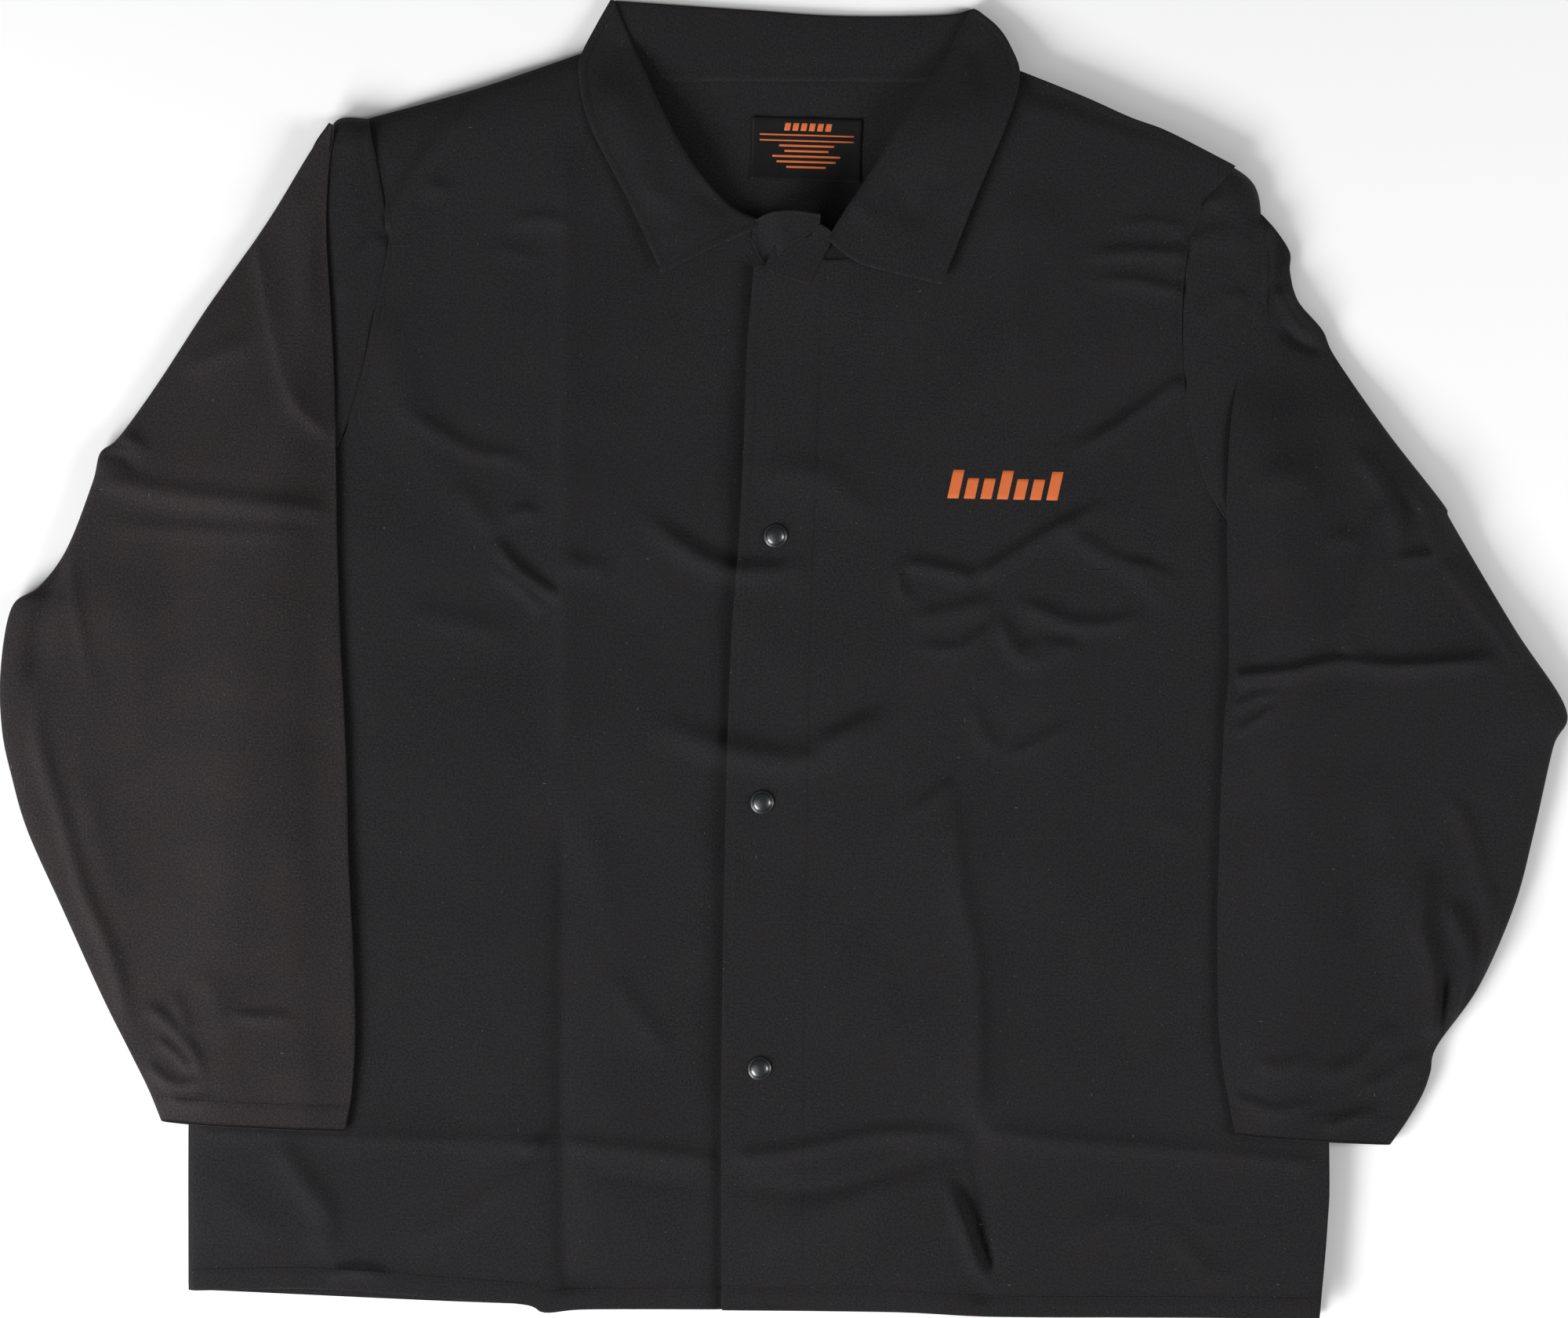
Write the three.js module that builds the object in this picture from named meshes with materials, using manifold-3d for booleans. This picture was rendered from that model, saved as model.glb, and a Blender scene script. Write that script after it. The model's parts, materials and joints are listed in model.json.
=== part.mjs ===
// Welding jacket of black flame-resistant cotton, laid on its back with the front up and the sleeves
// folded down along its sides. Millimetres, +Z up out of the front, +Y towards the collar, +X the
// wearer's left. The origin is on the surface the jacket lies on, under the middle of its outline.
import * as THREE from 'three';
import { mergeVertices } from 'three/addons/utils/BufferGeometryUtils.js';
import Module from 'manifold-3d';

const wasm = await Module();
wasm.setup();

// ---- cloth -------------------------------------------------------------------------------------
const clothPly = 1.0;        // one layer of cloth, with its loft
const plyGap = 0.4;          // air between two layers that lie on each other
const foldGap = 0.3;         // slit where one panel is shown as a fixed part and a turning part
const bodyLoft = 12;         // clear height inside the body, back to facing

// ---- body --------------------------------------------------------------------------------------
const backLength = 763;      // neck seam to hem
const backNeckY = 361;       // height of the back neck seam
const hemWidth = 702;        // side seam to side seam at the hem
const hemCentreX = -18;
const hemRise = 12;          // the hem lies this much higher at the right side seam
const hemFall = 6;           // and this much lower at the left one
const chestWidth = 664;      // side seam to side seam under the arms
const chestCentreX = -11;
const underarmY = { right: 58, left: 39 };
const sideRoll = 25;         // the last stretch of each panel that turns towards the side seam
const sideSeamZ = 6;         // the back panel's height at the side seam
const shoulderTip = { right: [-258, 335], left: [279, 305] };
const shoulderNeck = { right: [-124, 376], left: [145, 364] };
const shoulderSlope = 0.37;  // how fast the fronts fall to the shoulder seam
const collarLift = 1.4;      // the upper back lies on the collar's fall
const collarLiftY = 280;

// ---- front opening -----------------------------------------------------------------------------
const placketTop = [-18, 242];
const placketMid = [-35, -78];
const placketHemX = -38;
const overlap = 47;          // how far the right front reaches under the left one
const facingWidth = 46;
const leftFrontFallX = 200;  // the left front comes down from the stacked placket beyond here
const leftFrontFallRun = 60;
const leftFoldHemX = 117;    // where the left front's fold line meets the hem
const leftFoldBelowTop = 15;
const rightFoldHemX = -137;
const rightFoldBelowSnap = 18;

// ---- snaps -------------------------------------------------------------------------------------
const snapInset = 21.5;      // placket edge to snap centre
const firstSnapBelowTop = 166;
const lastSnapAboveHem = 149;
const capRadius = 7.3;
const capHeight = 2.4;
const socketRadius = 6.0;
const socketDepth = 2.2;
const socketWeb = 0.5;
const studRadius = 2.6;
const studClearance = 0.7;
const studFlange = 0.6;
const studTipGap = 0.4;
const barrelRadius = 1.5;
const rivetRadius = 5.0;
const rivetFlange = 0.5;
const restGap = 0.3;         // gap between pieces that touch on the real jacket
const snapSides = 20;

// ---- collar and throat latch -------------------------------------------------------------------
const collarTopY = 402;      // the fold along the top of the back collar
const collarFallDepth = 62;
const rollEnds = {           // the collar's roll line on each side, from the back fold to the front end
  right: [[-104, 408], [-12, 272]],
  left: [[117, 401], [30, 258]],
};
const rollBow = { right: 14, left: 1 };
const standHeight = 20;      // roll line to neck seam, under the collar leaf
const leafPoint = { right: [-74, 239], left: [97, 232] };
const leafShoulder = { right: [[-125, 374], [-119, 330]], left: [[145, 362], [136, 326]] };
const strapRoot = [-9, 271];
const strapLength = 31;
const strapWidth = 15;
const tabWidth = 24;
const tabLength = 29;
const patchSize = [11, 8, 0.8];

// ---- sleeves -----------------------------------------------------------------------------------
const sleeveFold = {         // the fold line down the inside of each sleeve, shoulder end then cuff end
  right: [[-280, 331], [-263, -292]],
  left: [[276, 277], [264, -294]],
};
const sleeveOuter = {        // the sleeve's outer edge, from the shoulder to the cuff
  right: [[-292, 326], [-357, 219], [-429, 109], [-486, -14], [-469, -107], [-423, -209], [-386, -285]],
  left: [[298, 274], [345, 183], [412, 87], [486, -33], [465, -108], [431, -203], [378, -299]],
};
const sleeveClear = 2.0;     // sleeve above the front it lies on
const sleeveFloorZ = 3;      // the sleeve's underside where it lies beside the body
const sleeveLoft = { shoulder: 9, elbow: 19, cuff: 11 };
const foldInset = 0.8;       // sleeve fold line to the hinge line, on each side

// ---- inside pocket and label -------------------------------------------------------------------
const pocketWidth = 129;
const pocketDepth = 167;
const pocketTop = [68, 53];  // its upper corner nearest the placket
const pocketLoft = 6.2;
const labelSize = [68, 39, 0.5];
const labelCentre = [14, 316];
const labelTurn = -0.03;

// ---- heights of the layers, worked out from the cloth ----------------------------------------------
const layer = clothPly + plyGap;
const rightFacingZ = clothPly + bodyLoft;
const rightFrontZ = rightFacingZ + layer;
const snapStack = restGap + studFlange + restGap + socketDepth + socketWeb + restGap;
const leftFacingZ = rightFrontZ + clothPly + snapStack;
const leftFrontZ = leftFacingZ + layer;
const sideFrontZ = sideSeamZ + layer;
const hemY = backNeckY - backLength;
const sheetSpan = 1400;
const rightEdgeX = placketMid[0] + overlap;

// ---- small geometry tools ----------------------------------------------------------------------

/** A closed three.js geometry as a manifold solid. */
function solid(geometry) {
  const bare = geometry.index ? geometry.clone() : geometry;
  bare.deleteAttribute('normal');
  bare.deleteAttribute('uv');
  const merged = mergeVertices(bare, 1e-4);
  return new wasm.Manifold(new wasm.Mesh({
    numProp: 3,
    vertProperties: new Float32Array(merged.attributes.position.array),
    triVerts: new Uint32Array(merged.index.array),
  }));
}

/** A manifold solid back as a three.js geometry. */
function geometryOf(body) {
  const mesh = body.getMesh();
  const geometry = new THREE.BufferGeometry();
  geometry.setAttribute('position', new THREE.BufferAttribute(mesh.vertProperties, 3));
  geometry.setIndex(new THREE.BufferAttribute(mesh.triVerts, 1));
  return geometry;
}

/** An upright prism over an outline of [x, y] points, from z0 to z1. */
function prism(points, z0, z1) {
  const shape = new THREE.Shape(points.map(([x, y]) => new THREE.Vector2(x, y)));
  const geometry = new THREE.ExtrudeGeometry(shape, { depth: z1 - z0, bevelEnabled: false, curveSegments: 8 });
  return solid(geometry.translate(0, 0, z0));
}

/** A tall prism that covers everything left of the line from a to b, kept back by gap. */
function leftOf(a, b, gap = foldGap / 2) {
  const along = new THREE.Vector2(b[0] - a[0], b[1] - a[1]).normalize();
  const left = new THREE.Vector2(-along.y, along.x);
  const start = new THREE.Vector2(a[0], a[1]).addScaledVector(left, gap);
  const corner = (run, out) => start.clone().addScaledVector(along, run).addScaledVector(left, out).toArray();
  return prism([corner(-sheetSpan, 0), corner(sheetSpan, 0), corner(sheetSpan, sheetSpan),
    corner(-sheetSpan, sheetSpan)], -50, 150);
}

/** Everything under a plane that passes over the line a-b at height z and rises by slope to its left. */
function underPlane(a, b, z, slope) {
  const box = new THREE.BoxGeometry(2 * sheetSpan, 2 * sheetSpan, sheetSpan);
  box.translate(0, 0, -sheetSpan / 2);
  box.rotateX(Math.atan(slope));
  box.rotateZ(Math.atan2(b[1] - a[1], b[0] - a[0]));
  return solid(box.translate((a[0] + b[0]) / 2, (a[1] + b[1]) / 2, z));
}

/** Everything under a level plane at height z. */
const underLevel = (z) => underPlane([0, 0], [1, 0], z, 0);

/** Points along a smooth curve through the given [x, y] points. */
function smooth(points, steps) {
  const curve = new THREE.CatmullRomCurve3(points.map(([x, y]) => new THREE.Vector3(x, y, 0)));
  return curve.getPoints(steps).map((p) => [p.x, p.y]);
}

/** The point a fraction t of the way from a to b. */
const between = (a, b, t) => [a[0] + (b[0] - a[0]) * t, a[1] + (b[1] - a[1]) * t];

/** Moves a point by distance to the left of the direction from a to b. */
function offsetLeft(point, a, b, distance) {
  const length = Math.hypot(b[0] - a[0], b[1] - a[1]);
  return [point[0] - (b[1] - a[1]) / length * distance, point[1] + (b[0] - a[0]) / length * distance];
}

/** Cloth one ply thick over an outline, its top following the solid that lies under it. */
function plate(outline, topSolid, ply = clothPly) {
  return prism(outline, -40, 120).intersect(topSolid).subtract(topSolid.translate([0, 0, -ply]));
}

/** A flat layer over an outline. */
const flatLayer = (outline, z, ply = clothPly) => prism(outline, z, z + ply);

/** Cloth mapped from a box of nu by nv cells: place(u, v, t) gives the point, t running up its thickness. */
function mappedCloth(nu, nv, place) {
  const box = new THREE.BoxGeometry(1, 1, 1, nu, nv, 1);
  box.deleteAttribute('normal');
  box.deleteAttribute('uv');
  const merged = mergeVertices(box, 1e-5);
  const position = merged.attributes.position;
  for (let i = 0; i < position.count; i += 1) {
    position.setXYZ(i, ...place(position.getX(i) + 0.5, position.getY(i) + 0.5, position.getZ(i) + 0.5));
  }
  return merged;
}

const smoothstep = (t) => { const s = Math.min(1, Math.max(0, t)); return s * s * (3 - 2 * s); };

// ---- finishes ----------------------------------------------------------------------------------
const finish = (color, roughness, metalness) => new THREE.MeshStandardMaterial({ color, roughness, metalness });
const cotton = finish(0x28262a, 0.85, 0);
const liningCotton = finish(0x222226, 0.9, 0);
const blackEnamel = finish(0x0b0b0d, 0.18, 0.3);
const springSteel = finish(0x8a8a88, 0.35, 1);
const hookLoop = finish(0x1a1a1c, 0.95, 0);
const labelCloth = finish(0x161617, 0.7, 0);

const jacket = new THREE.Group();
jacket.name = 'welding_jacket';

function addNode(name, geometry, material) {
  const mesh = new THREE.Mesh(geometry, material);
  mesh.name = name;
  jacket.add(mesh);
}
const addSolid = (name, body, material = cotton) => addNode(name, geometryOf(body), material);

// ---- body outline ------------------------------------------------------------------------------
const sideHem = {
  right: [hemCentreX - hemWidth / 2, hemY + hemRise],
  left: [hemCentreX + hemWidth / 2, hemY - hemFall],
};
const underarm = {
  right: [chestCentreX - chestWidth / 2, underarmY.right],
  left: [chestCentreX + chestWidth / 2, underarmY.left],
};
const armhole = {            // underarm to shoulder tip
  right: smooth([underarm.right, [-276, 131], [-256, 195], [-246, 262], shoulderTip.right], 12),
  left: smooth([underarm.left, [273, 86], [250, 150], [247, 225], shoulderTip.left], 12),
};
const hemMiddle = [placketHemX, hemY];

/** The collar's roll line on one side, bowed outwards, from the back fold to the front end. */
function rollLine(side, steps = 6) {
  const [a, b] = rollEnds[side];
  const bow = side === 'right' ? -rollBow.right : rollBow.left;
  return smooth([a, offsetLeft(between(a, b, 0.5), a, b, bow), b], steps);
}

/** The front neck seam on one side: the roll line moved out under the leaf by the stand's height. */
function frontNeckSeam(side) {
  const [a, b] = rollEnds[side];
  const out = side === 'right' ? -standHeight : standHeight;
  return rollLine(side).slice(1).map((point) => offsetLeft(point, a, b, out));
}

const placketEdge = [placketTop, placketMid, [placketHemX, hemY]];

/** Where the placket edge is at height y. */
function placketX(y) {
  const [top, mid, hem] = placketEdge;
  return y > mid[1]
    ? between(mid, top, (y - mid[1]) / (top[1] - mid[1]))[0]
    : between(hem, mid, (y - hem[1]) / (mid[1] - hem[1]))[0];
}

const snapYs = [placketTop[1] - firstSnapBelowTop, 0, hemY + lastSnapAboveHem];
snapYs[1] = (snapYs[0] + snapYs[2]) / 2;
const snapCentres = snapYs.map((y) => [placketX(y) + snapInset, y]);

// Fold lines that the two fronts open along, each from its upper end to the hem.
const leftFoldY = placketTop[1] - leftFoldBelowTop;
const leftFold = [[placketX(leftFoldY), leftFoldY], [leftFoldHemX, hemY]];
const rightFold = [[rightEdgeX, snapYs[0] - rightFoldBelowSnap], [rightFoldHemX, hemY]];

// ---- back panel --------------------------------------------------------------------------------
const backOutline = [
  sideHem.left, ...armhole.left, shoulderNeck.left, [120, backNeckY], [-98, backNeckY],
  shoulderNeck.right, ...[...armhole.right].reverse(), sideHem.right, hemMiddle,
];
const sideSlope = sideSeamZ / sideRoll;

/** The two planes over a side seam, both at height z there: one over its lower part, one upright above it. */
function sidePlanes(side, z, slope) {
  const seam = side === 'right' ? [sideHem.right, underarm.right] : [underarm.left, sideHem.left];
  const x = underarm[side][0];
  const upright = side === 'right' ? [[x, 0], [x, 1]] : [[x, 1], [x, 0]];
  return [underPlane(...seam, z, slope), underPlane(...upright, z, slope)];
}

/** Everything under the back panel's underside lifted by z: flat, turned up at the sides, raised at the neck. */
function underBack(z) {
  const neckRise = underLevel(z + collarLift)
    .intersect(underPlane([0, collarLiftY], [1, collarLiftY], z, collarLift / sideRoll));
  const rolled = ['right', 'left'].map((side) => {
    const [lower, upper] = sidePlanes(side, z + sideSeamZ, sideSlope);
    return lower.intersect(upper);
  });
  return underLevel(z).add(neckRise).add(rolled[0]).add(rolled[1]);
}
addSolid('back_panel', plate(backOutline, underBack(clothPly)));

// ---- front panels ------------------------------------------------------------------------------
const rightFrontTop = rightFrontZ + clothPly;
const leftFrontTop = leftFrontZ + clothPly;
const sideTop = sideFrontZ + clothPly;
const shoulderTop = collarLift + layer + clothPly;
const frontSideSlope = (rightFrontTop - sideTop) / sideRoll;

/** Everything under the stretch of a front that turns down to its side seam. */
function underSide(side) {
  const [lower, upper] = sidePlanes(side, sideTop, -frontSideSlope);
  return lower.add(upper);
}

const underRightFront = underLevel(rightFrontTop)
  .intersect(underSide('right'))
  .intersect(underPlane(shoulderTip.right, shoulderNeck.right, shoulderTop, -shoulderSlope));

const leftFrontFall = (leftFrontTop - rightFrontTop) / leftFrontFallRun;
const underLeftFront = underLevel(leftFrontTop)
  .intersect(underPlane([leftFrontFallX, 0], [leftFrontFallX, -1], leftFrontTop, -leftFrontFall))
  .add(underLevel(rightFrontTop))
  .intersect(underSide('left'))
  .intersect(underPlane(shoulderNeck.left, shoulderTip.left, shoulderTop, -shoulderSlope));

const neckFrontY = placketTop[1] + 8;
const rightFrontOutline = [
  [rightEdgeX, hemY], [rightEdgeX, neckFrontY], ...frontNeckSeam('right').reverse(),
  shoulderNeck.right, ...[...armhole.right].reverse(), sideHem.right, hemMiddle,
];
const leftFrontOutline = [
  ...[...placketEdge].reverse(), ...frontNeckSeam('left').reverse(),
  shoulderNeck.left, ...[...armhole.left].reverse(), sideHem.left,
];
const rightFacingOutline = [
  [rightEdgeX, hemY], [rightEdgeX, neckFrontY], [rightEdgeX - facingWidth, neckFrontY],
  [rightEdgeX - facingWidth, hemY],
];
const leftFacingOutline = [
  ...[...placketEdge].reverse(), [placketTop[0] + facingWidth, placketTop[1]],
  [placketMid[0] + facingWidth, placketMid[1]], [placketHemX + facingWidth, hemY],
];

/** Upright holes for the snap barrels, through every layer of the given snaps. */
function barrelHoles(centres) {
  return centres.map(([x, y]) => {
    const hole = new THREE.CylinderGeometry(barrelRadius + restGap, barrelRadius + restGap, 60, snapSides);
    return solid(hole.rotateX(Math.PI / 2).translate(x, y, 20));
  }).reduce((all, hole) => all.add(hole));
}
const allHoles = barrelHoles(snapCentres);

/** A layer split at a fold line into the part that stays and the part that turns, snap holes cut. */
function addSplitLayer(name, body, [top, hem], turnsRight) {
  const pierced = body.subtract(allHoles);
  const [stays, turns] = turnsRight ? [leftOf(hem, top), leftOf(top, hem)] : [leftOf(top, hem), leftOf(hem, top)];
  addSolid(name, pierced.intersect(stays));
  addSolid(`${name}_flap`, pierced.intersect(turns));
}
addSplitLayer('right_front', plate(rightFrontOutline, underRightFront), rightFold, true);
addSplitLayer('left_front', plate(leftFrontOutline, underLeftFront), leftFold, false);
addSplitLayer('right_facing', flatLayer(rightFacingOutline, rightFacingZ), rightFold, true);
addSplitLayer('left_facing', flatLayer(leftFacingOutline, leftFacingZ), leftFold, false);

// ---- snaps: cap and socket on the left front, stud and rivet on the right one --------------------------
const turned = (profile) => new THREE.LatheGeometry(profile.map(([r, z]) => new THREE.Vector2(r, z)), snapSides);

/** A turned piece, its profile given as [radius, height] points, standing up at a snap's centre. */
function addTurned(name, profile, [x, y], z, material) {
  const body = solid(turned(profile).rotateX(Math.PI / 2).translate(x, y, z));
  addNode(name, geometryOf(body), material);
}
const studFlangeZ = rightFrontTop + restGap;
const studTopZ = studFlangeZ + studFlange + restGap + socketDepth - studTipGap;
const socketZ = studFlangeZ + studFlange + restGap;
const socketTopZ = socketZ + socketDepth + socketWeb;
const capZ = leftFrontTop + restGap;

snapCentres.forEach((centre, index) => {
  const name = ['top', 'middle', 'bottom'][index];
  const barrelEnd = socketTopZ + restGap - capZ;
  addTurned(`${name}_snap_cap`, [
    [0, barrelEnd], [barrelRadius, barrelEnd], [barrelRadius, 0], [capRadius - 0.8, 0], [capRadius, 0.6],
    [capRadius - 0.4, capHeight * 0.55], [capRadius - 2.2, capHeight * 0.9], [0, capHeight],
  ], centre, capZ, blackEnamel);
  addTurned(`${name}_snap_socket`, [
    [studRadius + studClearance, 0], [socketRadius, 0], [socketRadius, socketDepth + socketWeb],
    [0, socketDepth + socketWeb], [0, socketDepth], [studRadius + studClearance, socketDepth],
    [studRadius + studClearance, 0],
  ], centre, socketZ, springSteel);
  addTurned(`${name}_snap_stud`, [
    [0, 0], [socketRadius, 0], [socketRadius, studFlange], [studRadius - 0.5, studFlange],
    [studRadius, studTopZ - studFlangeZ - 0.7], [studRadius - 0.6, studTopZ - studFlangeZ],
    [0, studTopZ - studFlangeZ],
  ], centre, studFlangeZ, springSteel);
  const rivetTop = studFlangeZ - restGap;
  const rivetZ = rightFacingZ - restGap - rivetFlange;
  addTurned(`${name}_snap_rivet`, [
    [0, 0], [rivetRadius, 0], [rivetRadius, rivetFlange], [barrelRadius, rivetFlange],
    [barrelRadius, rivetTop - rivetZ], [0, rivetTop - rivetZ],
  ], centre, rivetZ, springSteel);
});

// ---- collar ------------------------------------------------------------------------------------
const standBackZ = collarLift;
const backStand = [
  [rollEnds.right[0][0], collarTopY], [-98, backNeckY + plyGap], [120, backNeckY + plyGap],
  [rollEnds.left[0][0] - 4, collarTopY - 4], [20, collarTopY - 5],
];
addSolid('collar_stand_back', flatLayer(backStand, standBackZ));
const backFall = [
  [rollEnds.right[0][0] + 4, collarTopY - 1], [-92, collarTopY - collarFallDepth],
  [108, collarTopY - collarFallDepth], [rollEnds.left[0][0] - 6, collarTopY - 5], [20, collarTopY - 6],
];
addSolid('collar_fall_back', flatLayer(backFall, 0));

/** One side's collar stand: the strip from the roll line out to the neck seam, level with the front. */
function addStand(side, z) {
  const inner = rollLine(side);
  const [a, b] = rollEnds[side];
  const out = (standHeight - plyGap) * (side === 'right' ? -1 : 1);
  const outer = inner.map((point) => offsetLeft(point, a, b, out));
  const outline = side === 'right' ? [...inner, ...outer.reverse()] : [...outer, ...[...inner].reverse()];
  addSolid(`${side}_collar_stand`, flatLayer(outline, z));
}
addStand('right', rightFrontZ);
addStand('left', leftFrontZ);

const leafZ = {
  right: rightFrontTop + 2 * foldGap,
  left: leftFrontTop + 2 * foldGap,
};
/** One collar leaf, under and top ply, from just outside the roll line to its outer edge and point. */
function addLeaf(side) {
  const [a, b] = rollEnds[side];
  const out = side === 'right' ? -1 : 1;
  const inner = rollLine(side).map((point) => offsetLeft(point, a, b, out * 2 * foldGap));
  const outline = [...inner, leafPoint[side], ...[...leafShoulder[side]].reverse()];
  if (side === 'left') outline.reverse();
  addSolid(`${side}_under_collar`, flatLayer(outline, leafZ[side]));
  addSolid(`${side}_top_collar`, flatLayer(outline, leafZ[side] + layer));
}
addLeaf('right');
addLeaf('left');

// ---- throat latch ------------------------------------------------------------------------------
const tabZ = leafZ.left;
const tabCorner = [strapRoot[0] + 9, strapRoot[1] - strapWidth + 2];
const tabOutline = [
  tabCorner, [tabCorner[0] - 8, tabCorner[1] - tabWidth + 5], [tabCorner[0] + 16, tabCorner[1] - tabWidth - 3],
  [tabCorner[0] + tabLength - 3, tabCorner[1] - 1],
];
addSolid('throat_tab', flatLayer(tabOutline, tabZ));
const patchCentre = [tabCorner[0] + 12, tabCorner[1] - patchSize[1] / 2 - 1];

function addPatch(name, z) {
  const box = new THREE.BoxGeometry(...patchSize);
  addNode(name, box.translate(patchCentre[0], patchCentre[1], z + patchSize[2] / 2), hookLoop);
}
const loopZ = tabZ + clothPly + restGap;
const hookZ = loopZ + patchSize[2] + restGap;
const strapZ = hookZ + patchSize[2] + restGap;
addPatch('loop_patch', loopZ);
addPatch('hook_patch', hookZ);
const strapOutline = [
  [strapRoot[0], strapRoot[1] + 7], [strapRoot[0], strapRoot[1] - 7],
  [strapRoot[0] + 10, strapRoot[1] - strapWidth], [strapRoot[0] + strapLength - 1, strapRoot[1] - strapWidth + 4],
  [strapRoot[0] + strapLength, strapRoot[1] + 4],
];
addSolid('throat_strap', flatLayer(strapOutline, strapZ));

// ---- sleeves -----------------------------------------------------------------------------------

/** Where the body's edge lies under a sleeve at height y: the side seam, moving in above the underarm. */
function bodyEdgeX(side, y) {
  const hem = sideHem[side];
  const arm = underarm[side];
  const seam = hem[0] + (arm[0] - hem[0]) * (y - hem[1]) / (arm[1] - hem[1]);
  const inward = smoothstep((y - arm[1] - 42) / 100) * 38;
  return side === 'right' ? seam + inward : seam - inward;
}

/** Height of a sleeve's underside: over the front, then down beside the body. */
function sleeveUnderZ(side, x, y) {
  const inside = side === 'right' ? x - bodyEdgeX(side, y) : bodyEdgeX(side, y) - x;
  const high = rightFrontTop + sleeveClear;
  return sleeveFloorZ + (high - sleeveFloorZ) * smoothstep((inside + 42) / 64);
}

/** How far a sleeve's two plies stand apart at its middle, s running from the shoulder to the cuff. */
function sleeveRise(s) {
  const { shoulder, elbow, cuff } = sleeveLoft;
  return s < 0.5
    ? shoulder + (elbow - shoulder) * smoothstep(s / 0.5)
    : elbow + (cuff - elbow) * smoothstep((s - 0.5) / 0.5);
}

/** One sleeve: an under ply and a top ply, each ruled from the fold line to the outer edge. */
function addSleeve(side) {
  const outer = new THREE.CatmullRomCurve3(sleeveOuter[side].map(([x, y]) => new THREE.Vector3(x, y, 0)));
  const sign = side === 'right' ? -1 : 1;
  const [foldTop, foldCuff] = sleeveFold[side];
  const place = (lift) => (u, v, t) => {
    const s = 1 - v;
    const across = side === 'right' ? 1 - u : u;
    const edge = between(foldTop, foldCuff, s);
    edge[0] += sign * foldInset;
    const rim = outer.getPoint(s);
    const x = edge[0] + (rim.x - edge[0]) * across;
    const y = edge[1] + (rim.y - edge[1]) * across;
    const bulge = lift ? layer + sleeveRise(s) * Math.sin(Math.PI * across) ** 0.7 : 0;
    return [x, y, sleeveUnderZ(side, x, y) + bulge + t * clothPly];
  };
  addNode(`${side}_under_sleeve`, mappedCloth(12, 16, place(false)), cotton);
  addNode(`${side}_top_sleeve`, mappedCloth(12, 16, place(true)), cotton);
}
addSleeve('right');
addSleeve('left');

/** The fixed head of a sleeve: the strip from the armhole seam to the sleeve's fold line. */
function addSleeveHead(side) {
  const away = side === 'right' ? 1 : -1;
  const seam = armhole[side].map(([x, y]) => [x - away * plyGap, y]);
  const [foldTop, foldCuff] = sleeveFold[side];
  const foldX = (y) => foldCuff[0] + (foldTop[0] - foldCuff[0]) * (y - foldCuff[1]) / (foldTop[1] - foldCuff[1]);
  const head = seam.filter(([x, y]) => away * (x - foldX(y)) > 3 && y > underarm[side][1]);
  const fold = [head[head.length - 1], head[0]].map(([, y]) => [foldX(y) + away * foldInset, y]);
  const outline = side === 'right' ? [...head, ...fold] : [...head, ...fold].reverse();
  addSolid(`${side}_sleeve_head`, flatLayer(outline, rightFrontZ));
}
addSleeveHead('right');
addSleeveHead('left');

// ---- inside pocket and neck label --------------------------------------------------------------
const pocketZ = leftFrontZ - plyGap - pocketLoft - clothPly;
const pocketFloor = new THREE.BoxGeometry(pocketWidth, pocketDepth, clothPly);
pocketFloor.translate(pocketTop[0] + pocketWidth / 2, pocketTop[1] - pocketDepth / 2, pocketZ + clothPly / 2);

function pocketWall(x, y, width, depth) {
  const wall = new THREE.BoxGeometry(width, depth, pocketLoft + clothPly);
  return solid(wall.translate(x, y, pocketZ + (pocketLoft + clothPly) / 2));
}
const pocketMidY = pocketTop[1] - pocketDepth / 2;
const pocket = solid(pocketFloor)
  .add(pocketWall(pocketTop[0] + clothPly / 2, pocketMidY, clothPly, pocketDepth))
  .add(pocketWall(pocketTop[0] + pocketWidth - clothPly / 2, pocketMidY, clothPly, pocketDepth))
  .add(pocketWall(pocketTop[0] + pocketWidth / 2, pocketTop[1] - pocketDepth + clothPly / 2, pocketWidth, clothPly));
addSolid('inside_pocket', pocket, liningCotton);

const label = new THREE.BoxGeometry(...labelSize);
label.rotateZ(labelTurn);
label.translate(...labelCentre, collarLift + clothPly + restGap + labelSize[2] / 2);
addNode('neck_label', label, labelCloth);

export default jacket;
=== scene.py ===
# %% [markdown]
# # A cotton welding jacket, laid flat
# The jacket lies on its back with its front up and its sleeves folded down beside it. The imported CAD
# model gives the size, the joints and the place of every layer; this lesson dresses it in cloth.
# Everything soft is a surface worked out with numpy: an outline gives where the cloth lies, and a
# height formula gives its loft and every fold. Lengths are in millimetres until a mesh is made.

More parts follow.
